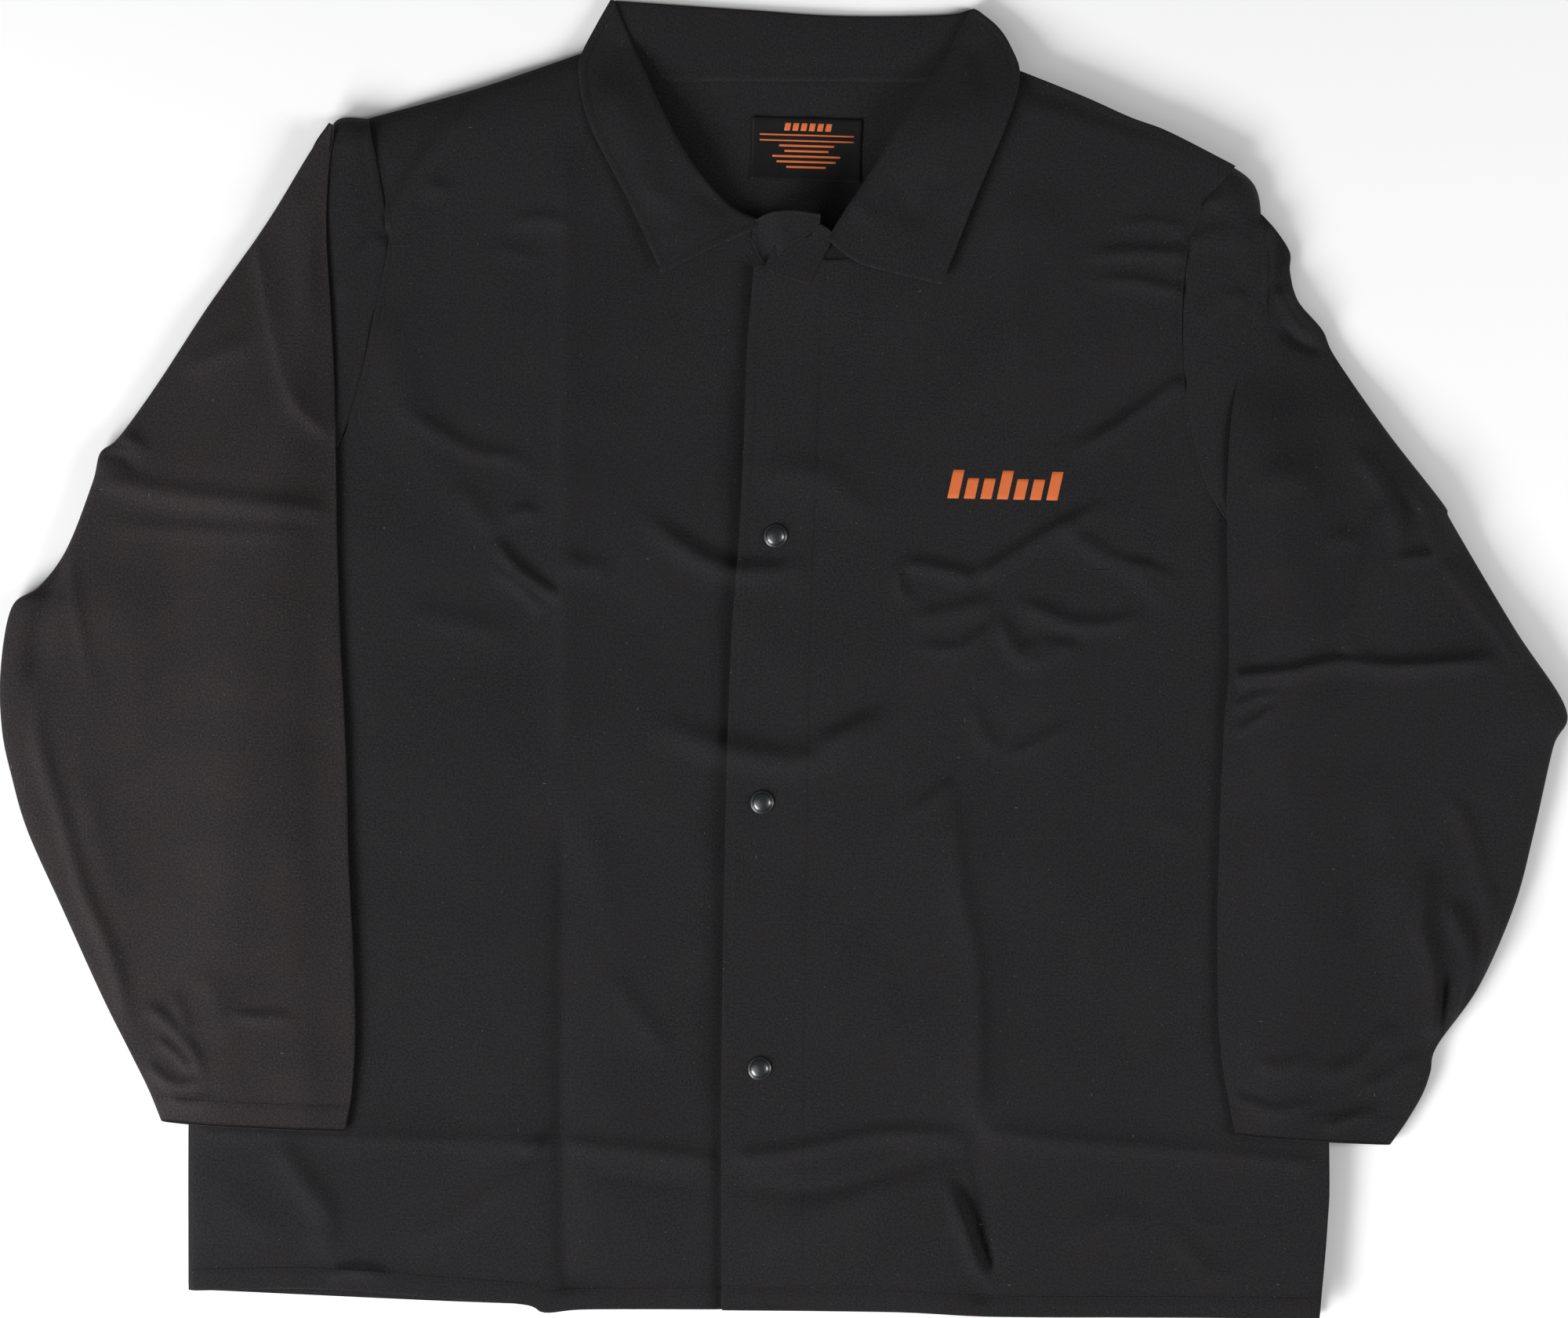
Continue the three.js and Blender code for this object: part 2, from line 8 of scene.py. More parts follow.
# %% Load the frame
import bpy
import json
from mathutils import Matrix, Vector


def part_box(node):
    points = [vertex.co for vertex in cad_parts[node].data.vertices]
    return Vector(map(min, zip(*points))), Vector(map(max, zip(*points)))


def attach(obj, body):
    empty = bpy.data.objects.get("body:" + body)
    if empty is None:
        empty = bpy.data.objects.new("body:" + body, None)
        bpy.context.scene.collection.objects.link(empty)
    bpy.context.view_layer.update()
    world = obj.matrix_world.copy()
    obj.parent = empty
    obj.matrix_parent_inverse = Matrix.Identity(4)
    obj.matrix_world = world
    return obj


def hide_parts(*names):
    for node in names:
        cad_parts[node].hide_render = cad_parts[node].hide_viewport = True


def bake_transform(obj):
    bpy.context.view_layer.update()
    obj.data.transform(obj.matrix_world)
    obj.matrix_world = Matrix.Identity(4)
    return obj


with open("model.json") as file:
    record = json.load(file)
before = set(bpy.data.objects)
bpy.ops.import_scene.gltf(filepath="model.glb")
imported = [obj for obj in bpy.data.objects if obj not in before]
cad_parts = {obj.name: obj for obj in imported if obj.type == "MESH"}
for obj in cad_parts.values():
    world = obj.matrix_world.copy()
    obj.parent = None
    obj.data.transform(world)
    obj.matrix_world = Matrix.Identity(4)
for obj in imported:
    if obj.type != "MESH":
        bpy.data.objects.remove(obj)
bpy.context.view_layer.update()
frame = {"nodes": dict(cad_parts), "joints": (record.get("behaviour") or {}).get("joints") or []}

import json
import math

import bmesh
import bpy
import numpy as np
from mathutils import Vector

MM = 0.001


def node_box(name):
    """A CAD node's lowest and highest corner, in millimetres."""
    low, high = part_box(name)
    return np.array(low) / MM, np.array(high) / MM


# %% [markdown]
# ## Curves and fields
# A sewing pattern is drawn with a few points and a smooth line through them. The same kind of curve
# also says where a fold runs. A fold's height is then a formula of the distance from that curve, so
# it works on any panel and at any mesh density.

# %% Curves through a few points
def curve(points, count=60):
    """Catmull-Rom curve through the given [x, y] points, with points spread evenly along its length."""
    p = np.array(points, float)
    p = np.vstack([2 * p[0] - p[1], p, 2 * p[-1] - p[-2]])
    t = np.linspace(0, 1, 17)[:-1, None]
    spans = [0.5 * ((2 * b) + (c - a) * t + (2 * a - 5 * b + 4 * c - d) * t ** 2
                    + (3 * b - a - 3 * c + d) * t ** 3)
             for a, b, c, d in zip(p[:-3], p[1:-2], p[2:-1], p[3:])]
    line = np.vstack(spans + [p[-2:-1]])
    return resample(line, count)


def polyline(points, count=60):
    """Straight runs between the given points, with points spread evenly along them."""
    return resample(np.array(points, float), count)


def resample(line, count):
    """The same line with count points at equal steps of arc length."""
    step = np.hypot(*np.diff(line[:, :2], axis=0).T)
    arc = np.concatenate([[0], np.cumsum(step)])
    at = np.linspace(0, arc[-1], count)
    return np.stack([np.interp(at, arc, line[:, k]) for k in range(line.shape[1])], 1)


def smooth(t):
    """0 below 0, 1 above 1, and 3t^2 - 2t^3 between."""
    s = np.clip(t, 0, 1)
    return s * s * (3 - 2 * s)


def along_and_off(points, line):
    """For each point its place along the line, 0 to 1, and its signed distance from it, left positive."""
    p = np.asarray(points, float).reshape(-1, 2)
    best = np.full(len(p), 1e9)
    place = np.zeros(len(p))
    off = np.zeros(len(p))
    arc = np.concatenate([[0], np.cumsum(np.hypot(*np.diff(line, axis=0).T))])
    for i, (a, b) in enumerate(zip(line[:-1], line[1:])):
        run = b - a
        size = max(np.hypot(*run), 1e-9)
        t = np.clip((p - a) @ run / size ** 2, 0, 1)
        gap = p - a - t[:, None] * run
        far = np.hypot(gap[:, 0], gap[:, 1])
        near = far < best
        side = np.sign(run[0] * (p[:, 1] - a[1]) - run[1] * (p[:, 0] - a[0]))
        best[near] = far[near]
        place[near] = (arc[i] + t[near] * size) / arc[-1]
        off[near] = (far * side)[near]
    shape = np.shape(points)[:-1]
    return place.reshape(shape), off.reshape(shape)


print("a curve through three points:", curve([[0, 0], [50, 20], [100, 0]]).shape)

# %% [markdown]
# ## Folds as height fields
# A real fold is a line along which the cloth stands up or sinks. It could be sculpted or simulated,
# but then it can't be placed or read. Here each fold is a function that gives a height anywhere on
# the cloth, so dozens of them are simply added up, and any panel can ask for the sum.

# %% Folds as height fields
CLOTH_LOFT = 1.6


def fold(points, height, width, kind="ridge", ends=(0.25, 0.25), lean=0.0):
    """One fold as a function of [x, y] points. Across it, with d the distance over the width: a ridge
    is exp(-d^2), a crease is the sharper exp(1/4 - sqrt(d^2 + 1/16)), and a pinch is a ridge with a
    narrow valley on its left; lean makes one side steeper. Along it, height rises and falls smoothly
    over the two ends."""
    line = curve(points, 24)

    def height_at(xy):
        """The fold's height at each point, worked out only within five widths of its line."""
        low = line.min(0) - 5 * width
        high = line.max(0) + 5 * width
        out = np.zeros(xy.shape[:-1])
        near = ((xy > low) & (xy < high)).all(-1)
        if not near.any():
            return out
        place, off = along_and_off(xy[near], line)
        d = off / width
        d = d * np.where(d > 0, 1 + lean, 1 - lean)
        if kind == "ridge":
            across = np.exp(-d * d)
        elif kind == "crease":
            across = np.exp(0.25 - np.sqrt(d * d + 0.0625))
        else:
            across = np.exp(-d * d) - 0.8 * np.exp(-((d - 1.3) / 0.6) ** 2)
        beyond = np.minimum(place, 1 - place) <= 0
        taper = smooth(place / ends[0]) * smooth((1 - place) / ends[1])
        out[near] = height * across * np.where(beyond, 0, taper)
        return out
    return height_at


def total(folds, xy):
    """The sum of many folds' heights, times the loft of this weight of cloth."""
    return CLOTH_LOFT * sum((f(xy) for f in folds), np.zeros(xy.shape[:-1]))


def swell(xy, size, seed, height=1.0):
    """Soft uneven loft: a sum of eight sine waves in random directions, of about the given size."""
    waves = np.random.default_rng(seed)
    out = np.zeros(xy.shape[:-1])
    for _ in range(8):
        angle = waves.uniform(0, math.pi)
        length = size * waves.uniform(0.7, 1.8)
        phase = waves.uniform(0, 2 * math.pi)
        along = xy[..., 0] * math.cos(angle) + xy[..., 1] * math.sin(angle)
        out += np.sin(2 * math.pi * along / length + phase)
    return height * out / 4


ridge = fold([[0, 0], [100, 0]], 3.0, 6)
print("a 3 mm ridge, at its line and 6 mm away:", ridge(np.array([[50.0, 0.0], [50.0, 6.0]])).round(2))

# %% [markdown]
# ## Meshes from grids
# A cloth panel is a sheet between four seams. A Coons patch fills four curves with a grid, and a
# height makes it a surface. Real cloth has a thickness that shows at every edge, so the grid becomes
# a closed shell with a round rim, instead of a single face with nothing at its edge.

# %% Meshes from grids
def coons(bottom, top, left, right):
    """Coons patch: the grid whose four edges are the given curves (u runs along bottom and top)."""
    u = np.linspace(0, 1, len(bottom))[None, :, None]
    v = np.linspace(0, 1, len(left))[:, None, None]
    ruled_v = (1 - v) * bottom[None] + v * top[None]
    ruled_u = (1 - u) * left[:, None] + u * right[:, None]
    corners = ((1 - u) * (1 - v) * bottom[0] + u * (1 - v) * bottom[-1]
               + (1 - u) * v * top[0] + u * v * top[-1])
    return ruled_v + ruled_u - corners


def grid_normals(grid):
    """Unit normals of a grid of points, from the cross product of its two directions."""
    du = np.gradient(grid, axis=1)
    dv = np.gradient(grid, axis=0)
    n = np.cross(du, dv)
    return n / np.maximum(np.linalg.norm(n, axis=-1, keepdims=True), 1e-9)


def quads(rows, cols, start=0, flip=False, around=False):
    """Quad indices of a grid stored row by row, closed on itself across when around is true."""
    i, j = np.meshgrid(np.arange(rows - 1), np.arange(cols if around else cols - 1), indexing="ij")
    right = (j + 1) % cols
    above, below = i * cols, (i + 1) * cols
    q = np.stack([above + j, above + right, below + right, below + j], -1).reshape(-1, 4)
    return (q[:, ::-1] if flip else q) + start


def make_mesh(name, points, faces, uv=None, materials=()):
    """A mesh object at the origin from points in millimetres and quad faces, shaded smooth."""
    mesh = bpy.data.meshes.new(name)
    mesh.vertices.add(len(points))
    mesh.vertices.foreach_set("co", (np.asarray(points, float) * MM).astype(np.float32).ravel())
    mesh.loops.add(faces.size)
    mesh.loops.foreach_set("vertex_index", faces.astype(np.int32).ravel())
    mesh.polygons.add(len(faces))
    mesh.polygons.foreach_set("loop_start", np.arange(0, faces.size, faces.shape[1], dtype=np.int32))
    mesh.update(calc_edges=True)
    mesh.polygons.foreach_set("use_smooth", np.ones(len(faces), bool))
    if uv is not None:
        layer = mesh.uv_layers.new(name="UVMap")
        layer.data.foreach_set("uv", uv[faces.ravel()].astype(np.float32).ravel())
    mesh.validate()
    for material in materials:
        mesh.materials.append(material)
    obj = bpy.data.objects.new(name, mesh)
    bpy.context.collection.objects.link(obj)
    return obj


def cloth_shell(name, top, thick, uv=None, materials=(), rim=3):
    """A closed cloth shell: the top grid, the same grid moved in by the thickness along its normals,
    and a rounded rim of half-circle section joining the two edges."""
    rows, cols = top.shape[:2]
    normal = grid_normals(top)
    thickness = np.broadcast_to(np.asarray(thick, float), top.shape[:2])[..., None]
    under = top - normal * thickness
    points = [top.reshape(-1, 3), under.reshape(-1, 3)]
    faces = [quads(rows, cols), quads(rows, cols, rows * cols, flip=True)]
    ring = np.concatenate([np.arange(cols), np.arange(1, rows) * cols + cols - 1,
                           (rows - 1) * cols + np.arange(cols - 2, -1, -1),
                           np.arange(rows - 2, 0, -1) * cols])
    flat_top, flat_under = points[0][ring], points[1][ring]
    flat_normal = normal.reshape(-1, 3)[ring]
    ahead = np.roll(flat_top, -1, 0) - np.roll(flat_top, 1, 0)
    outward = np.cross(ahead, flat_normal)
    outward /= np.maximum(np.linalg.norm(outward, axis=1, keepdims=True), 1e-9)
    radius = np.linalg.norm(flat_top - flat_under, axis=1, keepdims=True) / 2
    levels = [ring]
    for k in range(1, rim + 1):
        angle = math.pi * k / (rim + 1)
        middle = (flat_top + flat_under) / 2
        arc = middle + flat_normal * radius * math.cos(angle) + outward * radius * math.sin(angle)
        levels.append(np.arange(len(ring)) + sum(len(p) for p in points))
        points.append(arc)
    levels.append(ring + rows * cols)
    for upper, lower in zip(levels[:-1], levels[1:]):
        faces.append(np.stack([upper, lower, np.roll(lower, -1), np.roll(upper, -1)], 1))
    if uv is None:
        uv = top[..., :2]
    flat_uv = uv.reshape(-1, 2)
    uvs = np.concatenate([flat_uv, flat_uv] + [flat_uv[ring]] * rim)
    return make_mesh(name, np.concatenate(points), np.concatenate(faces), uvs * MM, materials)


def dress(obj, body, nodes=()):
    """Rides on a body, if one is given, and hides the CAD nodes it stands for."""
    if nodes:
        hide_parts(*nodes)
    if body:
        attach(obj, body)
    return obj


def across_joint(name, reach_in, reach_out):
    """Start and end of the bend at a hinge, square to its axis and level, from the fixed side over
    to the moving one."""
    joint = next(j for j in frame["joints"] if j["name"] == name)
    axis = Vector(joint["axis"])
    square = Vector((-axis.y, axis.x, 0)).normalized()
    at = Vector(joint["pos_m"])
    return at - square * reach_in * MM, at + square * reach_out * MM


# %% [markdown]
# ## Shader maths
# A material is a small program. Nodes could be placed and joined by hand, but sums are hard to read
# that way. A class around each socket lets them be written as Python sums instead.

# %% Sockets that add and multiply
class Num:
    """A number socket: +, -, *, / and the named functions each add one Math node."""

    def __init__(self, finish, socket):
        """Keeps the finish that owns the nodes, and the socket that gives the number."""
        self.finish = finish
        self.socket = socket

    def math(self, operation, *others, clamp=False):
        """One Math node with this number first."""
        settings = {"operation": operation, "use_clamp": clamp}
        return self.finish.node("ShaderNodeMath", settings, self, *others)

    def __add__(self, other):
        return self.math("ADD", other)

    def __sub__(self, other):
        return self.math("SUBTRACT", other)

    def __rsub__(self, other):
        return self.finish.node("ShaderNodeMath", {"operation": "SUBTRACT"}, other, self)

    def __mul__(self, other):
        return self.math("MULTIPLY", other)

    def clipped(self):
        """Kept between 0 and 1."""
        return self.math("ADD", 0.0, clamp=True)

    def above(self, edge, soft):
        """0 below the edge, rising to 1 over soft."""
        return self.math("SUBTRACT", edge).math("DIVIDE", soft, clamp=True)

    def sine(self):
        """Its sine, with the number in radians."""
        return self.math("SINE")

    __radd__ = __add__
    __rmul__ = __mul__


class Finish:
    """One material: its principled shader's constants, then nodes added by node()."""

    def __init__(self, name, **constants):
        self.material = bpy.data.materials.new(name)
        self.material.use_nodes = True
        self.tree = self.material.node_tree
        self.shader = self.tree.nodes["Principled BSDF"]
        for key, value in constants.items():
            self.shader.inputs[key.replace("_", " ")].default_value = value

    def node(self, kind, settings, *values, out=0, **named):
        """Adds a node, sets its settings, then fills its inputs in order or by name."""
        node = self.tree.nodes.new(kind)
        for key, value in settings.items():
            setattr(node, key, value)
        pairs = list(zip(node.inputs, values))
        pairs += [(node.inputs[key.replace("_", " ")], value) for key, value in named.items()]
        for socket, value in pairs:
            if isinstance(value, Num):
                self.tree.links.new(value.socket, socket)
            elif value is not None:
                socket.default_value = value
        return Num(self, node.outputs[out])

    def mix(self, share, first, second):
        """Colour mix: first where share is 0, second where it is 1."""
        node = self.tree.nodes.new("ShaderNodeMix")
        node.data_type = "RGBA"
        for index, value in ((0, share), (6, first), (7, second)):
            if isinstance(value, Num):
                self.tree.links.new(value.socket, node.inputs[index])
            else:
                node.inputs[index].default_value = value
        return Num(self, node.outputs[2])

    def place(self, stretch=(1, 1, 1), turn=0.0, uv=False):
        """Object coordinates, or the piece's own map, scaled to counts per metre and turned about Z."""
        source = self.node("ShaderNodeTexCoord", {}, out=2 if uv else 3)
        return self.node("ShaderNodeMapping", {}, source, None, (0, 0, turn), stretch)

    def noise(self, vector, scale, detail=2.0, rough=0.5):
        """Fractal noise, 0 to 1, with scale cells per metre."""
        settings = {"Vector": vector, "Scale": scale, "Detail": detail, "Roughness": rough}
        return self.node("ShaderNodeTexNoise", {}, **settings)

    def specks(self, vector, cells, radius, share):
        """Sparse dots: one per cell of a flat Voronoi pattern, kept where the cell's own random
        number is under share, and as wide as radius in cells."""
        pattern = {"voronoi_dimensions": "2D"}
        far = self.node("ShaderNodeTexVoronoi", pattern, Vector=vector, Scale=cells)
        lot = self.node("ShaderNodeTexVoronoi", pattern, Vector=vector, Scale=cells, out=1)
        return (radius - far).above(0.0, radius * 0.3) * (share - self.split(lot)[0]).above(0.0, 0.001)

    def split(self, vector):
        """The x, y and z of a vector."""
        node = self.tree.nodes.new("ShaderNodeSeparateXYZ")
        self.tree.links.new(vector.socket, node.inputs[0])
        return [Num(self, out) for out in node.outputs]

    def feed(self, **sockets):
        """Links what varies to the shader's sockets and hands back the finished material."""
        for key, value in sockets.items():
            self.tree.links.new(value.socket, self.shader.inputs[key.replace("_", " ")])
        return self.material

    def bump(self, height, distance, strength=1.0):
        """Normal bent by a height in units of distance metres."""
        return self.node("ShaderNodeBump", {}, Strength=strength, Distance=distance, Height=height)


def grey(level, warm=0.0):
    """A near-grey colour, warm above zero and cool below."""
    return (level * (1 + warm), level, level * (1 - warm), 1)


def cloth_colour(level, warm=0.0):
    """The dye: a black that leans to violet, and to brown as it gets warmer."""
    return (level * (1.04 + warm), level * (0.97 - 0.2 * warm), level * (1.07 - 1.1 * warm), 1)


print("black dye:", [round(v, 4) for v in cloth_colour(0.01)])

# %% [markdown]
# ## Black cotton twill
# The cloth is dyed black but never even: the yarns have a fine diagonal rib, the dye is a little greyer
# in random places, and black cotton gathers pale lint. The fine rib is a bump of two sine waves; the
# greyer places and the lint are noises mixed into the colour.

# %% The cotton finishes
def cotton_finish(name, level, warm=0.0, sheen=0.03, lint=1.0, uv=True):
    """Twill of about two ribs a millimetre with uneven dye, lint specks and short fibres."""
    f = Finish(name, Roughness=0.82, Sheen_Weight=sheen, Sheen_Roughness=0.5,
               Sheen_Tint=(0.80, 0.82, 0.9, 1), Specular_IOR_Level=0.16)
    at = f.place(uv=uv)
    x, y, _ = f.split(at)
    ribs = ((x + y) * 7400.0).sine()
    yarns = ((x - y * 0.35) * 9100.0).sine()
    slub = f.noise(f.place((1, 0.16, 1), uv=uv), 900.0, 2.0)
    grain = f.noise(at, 820.0, 2.0, 0.7)
    uneven = f.noise(at, 9.0, 3.0, 0.55)
    blotch = f.noise(at, 34.0, 3.0, 0.6)
    mottle = f.noise(at, 160.0, 3.0, 0.6)
    deep, faded = cloth_colour(level * 0.84, warm), cloth_colour(level * 1.2, warm)
    dye = f.mix(uneven.above(0.35, 0.35), deep, faded)
    dye = f.mix(blotch.above(0.38, 0.26) * 0.8, dye, cloth_colour(level * 1.35, warm + 0.10))
    cool = f.noise(at, 52.0, 2.0, 0.5)
    dye = f.mix(cool.above(0.52, 0.2) * 0.6, dye, cloth_colour(level * 1.1, warm - 0.07))
    dye = f.mix(mottle.above(0.4, 0.4) * 0.4, dye, cloth_colour(level * 1.35, warm))
    dye = f.mix(grain.above(0.40, 0.26), dye, cloth_colour(level * 3.0, warm))
    lints = f.specks(f.place((1, 1, 1), 0.3, uv=uv), 62.0, 0.016, 0.30 * lint)
    lints = lints + f.specks(f.place((1, 0.13, 1), 0.9, uv=uv), 55.0, 0.0085, 0.10 * lint)
    lints = lints + f.specks(f.place((0.13, 1, 1), 0.5, uv=uv), 50.0, 0.0085, 0.08 * lint)
    dye = f.mix(lints.clipped() * 0.7, dye, grey(0.20))
    weave = ribs * 0.35 + yarns * 0.15 + slub * 0.9 + mottle * 0.8 + grain * 0.9
    return f.feed(Base_Color=dye, Roughness=0.74 + mottle * 0.2, Normal=f.bump(weave, 0.00025, 0.8))


cotton = cotton_finish("black_cotton_twill", 0.0070, 0.0)
# The right sleeve's copy is lighter and browner than the body's cloth: painted warm light from the strong
# lamp on that side.
lit_sleeve_cotton = cotton_finish("black_cotton_painted_warm_light", 0.0108, 0.07)
inner_cotton = cotton_finish("black_cotton_inside", 0.0074, 0.0, lint=0.4)
print("cloth finishes:", cotton.name, lit_sleeve_cotton.name, inner_cotton.name)

# %% [markdown]
# ## Thread, enamel, steel, tape, ink and satin
# The small finishes differ from the cloth mostly in how sharply they shine. Thread and satin have
# their own fine ribs, the snap caps are dark enamel under a clear coat, and the ink lies dull on the
# weave. Each is a few noises and waves, so that it stays sharp however near the camera comes.

# %% The small finishes
def thread_finish():
    """Black spun thread, a little shinier than the cloth, its twist a fine slanted wave. Its colour is
    lighter on the crowns of the twist and darker between them: painted highlight and painted shade.
    """
    f = Finish("black_thread", Roughness=0.62, Specular_IOR_Level=0.25)
    x, y, z = f.split(f.place())
    twist = ((x + y * 0.6 + z) * 9000.0).sine()
    # Painted highlight on the twist's crowns and painted shade in its grooves.
    shade = f.mix((twist * 0.5 + 0.5).clipped(), grey(0.007), grey(0.015))
    return f.feed(Base_Color=shade, Normal=f.bump(twist, 0.00008))


def enamel_finish():
    """Glossy black enamel over pressed metal, with faint orange peel and a few scuffs."""
    f = Finish("black_enamel", Coat_Weight=0.6, Coat_Roughness=0.09, Specular_IOR_Level=0.9)
    at = f.place()
    scuffs = f.noise(f.place((1, 6, 1), 0.5), 700.0, 2.0).above(0.66, 0.1)
    peel = f.noise(at, 900.0, 1.0)
    shade = f.mix(scuffs * 0.3, (0.0035, 0.0045, 0.0065, 1), grey(0.02))
    return f.feed(Base_Color=shade, Roughness=0.36 + scuffs * 0.15, Normal=f.bump(peel, 0.00003, 0.4))


def steel_finish():
    """Plated spring steel, turned marks and slight tarnish."""
    f = Finish("plated_steel", Metallic=1.0, Roughness=0.3)
    tarnish = f.noise(f.place(), 500.0, 3.0)
    shade = f.mix(tarnish, grey(0.5, 0.03), grey(0.34, 0.04))
    return f.feed(Base_Color=shade, Roughness=0.22 + tarnish * 0.25, Normal=f.bump(tarnish, 0.00003))


def tape_finish():
    """Hook-and-loop tape: a dense matt pile."""
    f = Finish("black_hook_and_loop", Roughness=0.95, Specular_IOR_Level=0.1)
    pile = f.noise(f.place(), 2600.0, 2.0)
    return f.feed(Base_Color=f.mix(pile, grey(0.004), grey(0.012)), Normal=f.bump(pile, 0.0005))


def print_finish():
    """Orange screen print that follows the cloth, thinner over the ribs."""
    f = Finish("orange_print", Roughness=0.55, Specular_IOR_Level=0.4)
    at = f.place()
    x, y, _ = f.split(at)
    ribs = ((x + y) * 7400.0).sine()
    worn = f.noise(at, 1300.0, 3.0)
    ink = f.mix(worn.above(0.52, 0.3) * 0.35, (0.62, 0.135, 0.03, 1), (0.30, 0.06, 0.02, 1))
    return f.feed(Base_Color=ink, Roughness=0.5 + worn * 0.2, Normal=f.bump(ribs * 0.4 + worn, 0.0001, 0.6))


def label_finish():
    """Black woven satin label: fine level ribs with a soft shine."""
    f = Finish("woven_label", Roughness=0.5, Specular_IOR_Level=0.2)
    x, y, _ = f.split(f.place())
    weft = (y * 12000.0).sine()
    fuzz = f.noise(f.place((1, 0.2, 1)), 900.0, 2.0)
    shade = f.mix(fuzz, grey(0.003), grey(0.008))
    return f.feed(Base_Color=shade, Normal=f.bump(weft * 0.3 + fuzz, 0.00008))


thread = thread_finish()
enamel = enamel_finish()
steel = steel_finish()
tape = tape_finish()
orange = print_finish()
satin = label_finish()
print("finishes:", len(bpy.data.materials))

# %% [markdown]
# ## The pattern
# The outlines are what a cutter would chalk: hem, side seams, armholes, shoulders, neck and placket.
# Each is a short list of points with a smooth line through them.

# %% Outlines of the body panels
HEM_RIGHT = curve([[-369, -391], [-320, -389], [-272, -390], [-214, -395], [-161, -399], [-148, -404],
                   [-123, -402], [-60, -402], [12, -402]], 130)
HEM_LEFT = curve([[-38, -402], [66, -403], [132, -406], [243, -407], [331, -408]], 126)
SIDE_RIGHT = [[-369, -391], [-369, -292], [-367, -175], [-359, -29], [-343, 58]]
SIDE_LEFT = [[331, -408], [336, -350], [337, -303], [333, -120], [321, 39]]
ARM_RIGHT = [[-343, 58], [-311, 92], [-276, 131], [-267, 155], [-259, 185], [-252, 220], [-246, 260],
             [-251, 301], [-258, 335]]
ARM_LEFT = [[321, 39], [292, 63], [273, 86], [259, 112], [249, 160], [246, 209], [250, 253],
            [262, 284], [279, 305]]
SHOULDER_RIGHT = [[-258, 335], [-189, 354], [-124, 376]]
SHOULDER_LEFT = [[145, 364], [185, 348], [214, 335], [238, 326], [279, 305]]
NECK_RIGHT = [[-124, 376], [-110, 352], [-92, 322], [-72, 292], [-44, 270], [-12, 256], [12, 252]]
NECK_LEFT = [[-18, 243], [20, 246], [46, 250], [72, 278], [96, 318], [124, 350], [145, 364]]
PLACKET = [[-38, -402], [-38, -253], [-35, -78], [-32, 10], [-27, 78], [-24, 140], [-22, 194],
           [-18, 243]]


def corner_join(*parts, count):
    """Several curves end to end, with points spread evenly over the whole length."""
    return resample(np.vstack([curve(p, 60) for p in parts]), count)


print("hem from side seam to side seam:", HEM_LEFT[-1, 0] - HEM_RIGHT[0, 0], "mm")

# %% [markdown]
# ## Loft of the front
# Laid flat, the jacket is a thin stack: table, back, right front, left front. The heights of its
# layers come from the CAD model, so that the cloth drawn here lies where the joints expect it. Near a
# seam the stack closes, and a quarter circle is the shape that a turned layer of cloth takes there.

# %% Loft of the front
def ramp_to_edge(xy, edge, low, high, run):
    """Height that falls from high to low over the last stretch before an edge, as a quarter circle."""
    _, off = along_and_off(xy, polyline(edge, 40))
    t = np.clip(np.abs(off) / run, 0, 1)
    return low + (high - low) * np.sqrt(1 - (1 - t) ** 2)


front_low = node_box("right_front")[1][2]
front_high = node_box("left_front_flap")[1][2]
back_top = 1.0
print("cloth heights:", round(front_low, 1), round(front_high, 1))

# %% [markdown]
# ## Folds in the fronts
# The jacket was pressed in a stack and then opened flat, so it keeps two upright creases and one
# level one. Soft drags run from the chest to the armholes, and swags hang between the snaps.
# Every fold is one line of the list: its course, its height and its half width.

# %% Folds of the body
PRESSED = [
    fold([[-135, 330], [-136, 60], [-137, -130]], 4.0, 9, "crease", ends=(0.1, 0.3), lean=-0.4),
    fold([[-137, -70], [-138, -250], [-136, -396]], -3.2, 7, "crease", ends=(0.2, 0.05), lean=-0.3),
    fold([[142, 300], [146, 200], [145, 130]], 3.0, 11, "crease", ends=(0.2, 0.4), lean=-0.4),
    fold([[104, -72], [108, -136], [118, -185], [120, -253], [118, -292]], 3.6, 8, "crease",
         ends=(0.2, 0.1), lean=0.25),
    fold([[118, -285], [120, -330], [122, -400]], -2.2, 7, "crease", ends=(0.1, 0.05)),
    fold([[-366, -292], [-250, -297], [-140, -300]], 1.6, 5, "crease", ends=(0.05, 0.05)),
    fold([[-140, -300], [-95, -304], [-38, -311]], 1.8, 5.5, ends=(0.1, 0.15)),
    fold([[-133, -318], [-90, -322], [-40, -327]], -1.1, 6, ends=(0.3, 0.3)),
    fold([[-36, -309], [8, -304], [60, -294], [116, -295]], 2.4, 5.5, ends=(0.1, 0.1)),
    fold([[-36, -326], [22, -328], [62, -318], [114, -303]], -1.7, 6.5, ends=(0.1, 0.1)),
    fold([[118, -291], [178, -299], [236, -303], [333, -313]], 2.6, 5, "crease", ends=(0.05, 0.05)),
]
SLASH = [
    fold([[97, -314], [112, -353], [125, -388]], 4.2, 5.2, "pinch", ends=(0.45, 0.2)),
    fold([[-34, -374], [22, -343], [94, -310]], 2.2, 13, ends=(0.3, 0.3)),
    fold([[-148, -296], [-158, -304], [-168, -302]], 2.2, 4, "pinch", ends=(0.3, 0.5)),
]
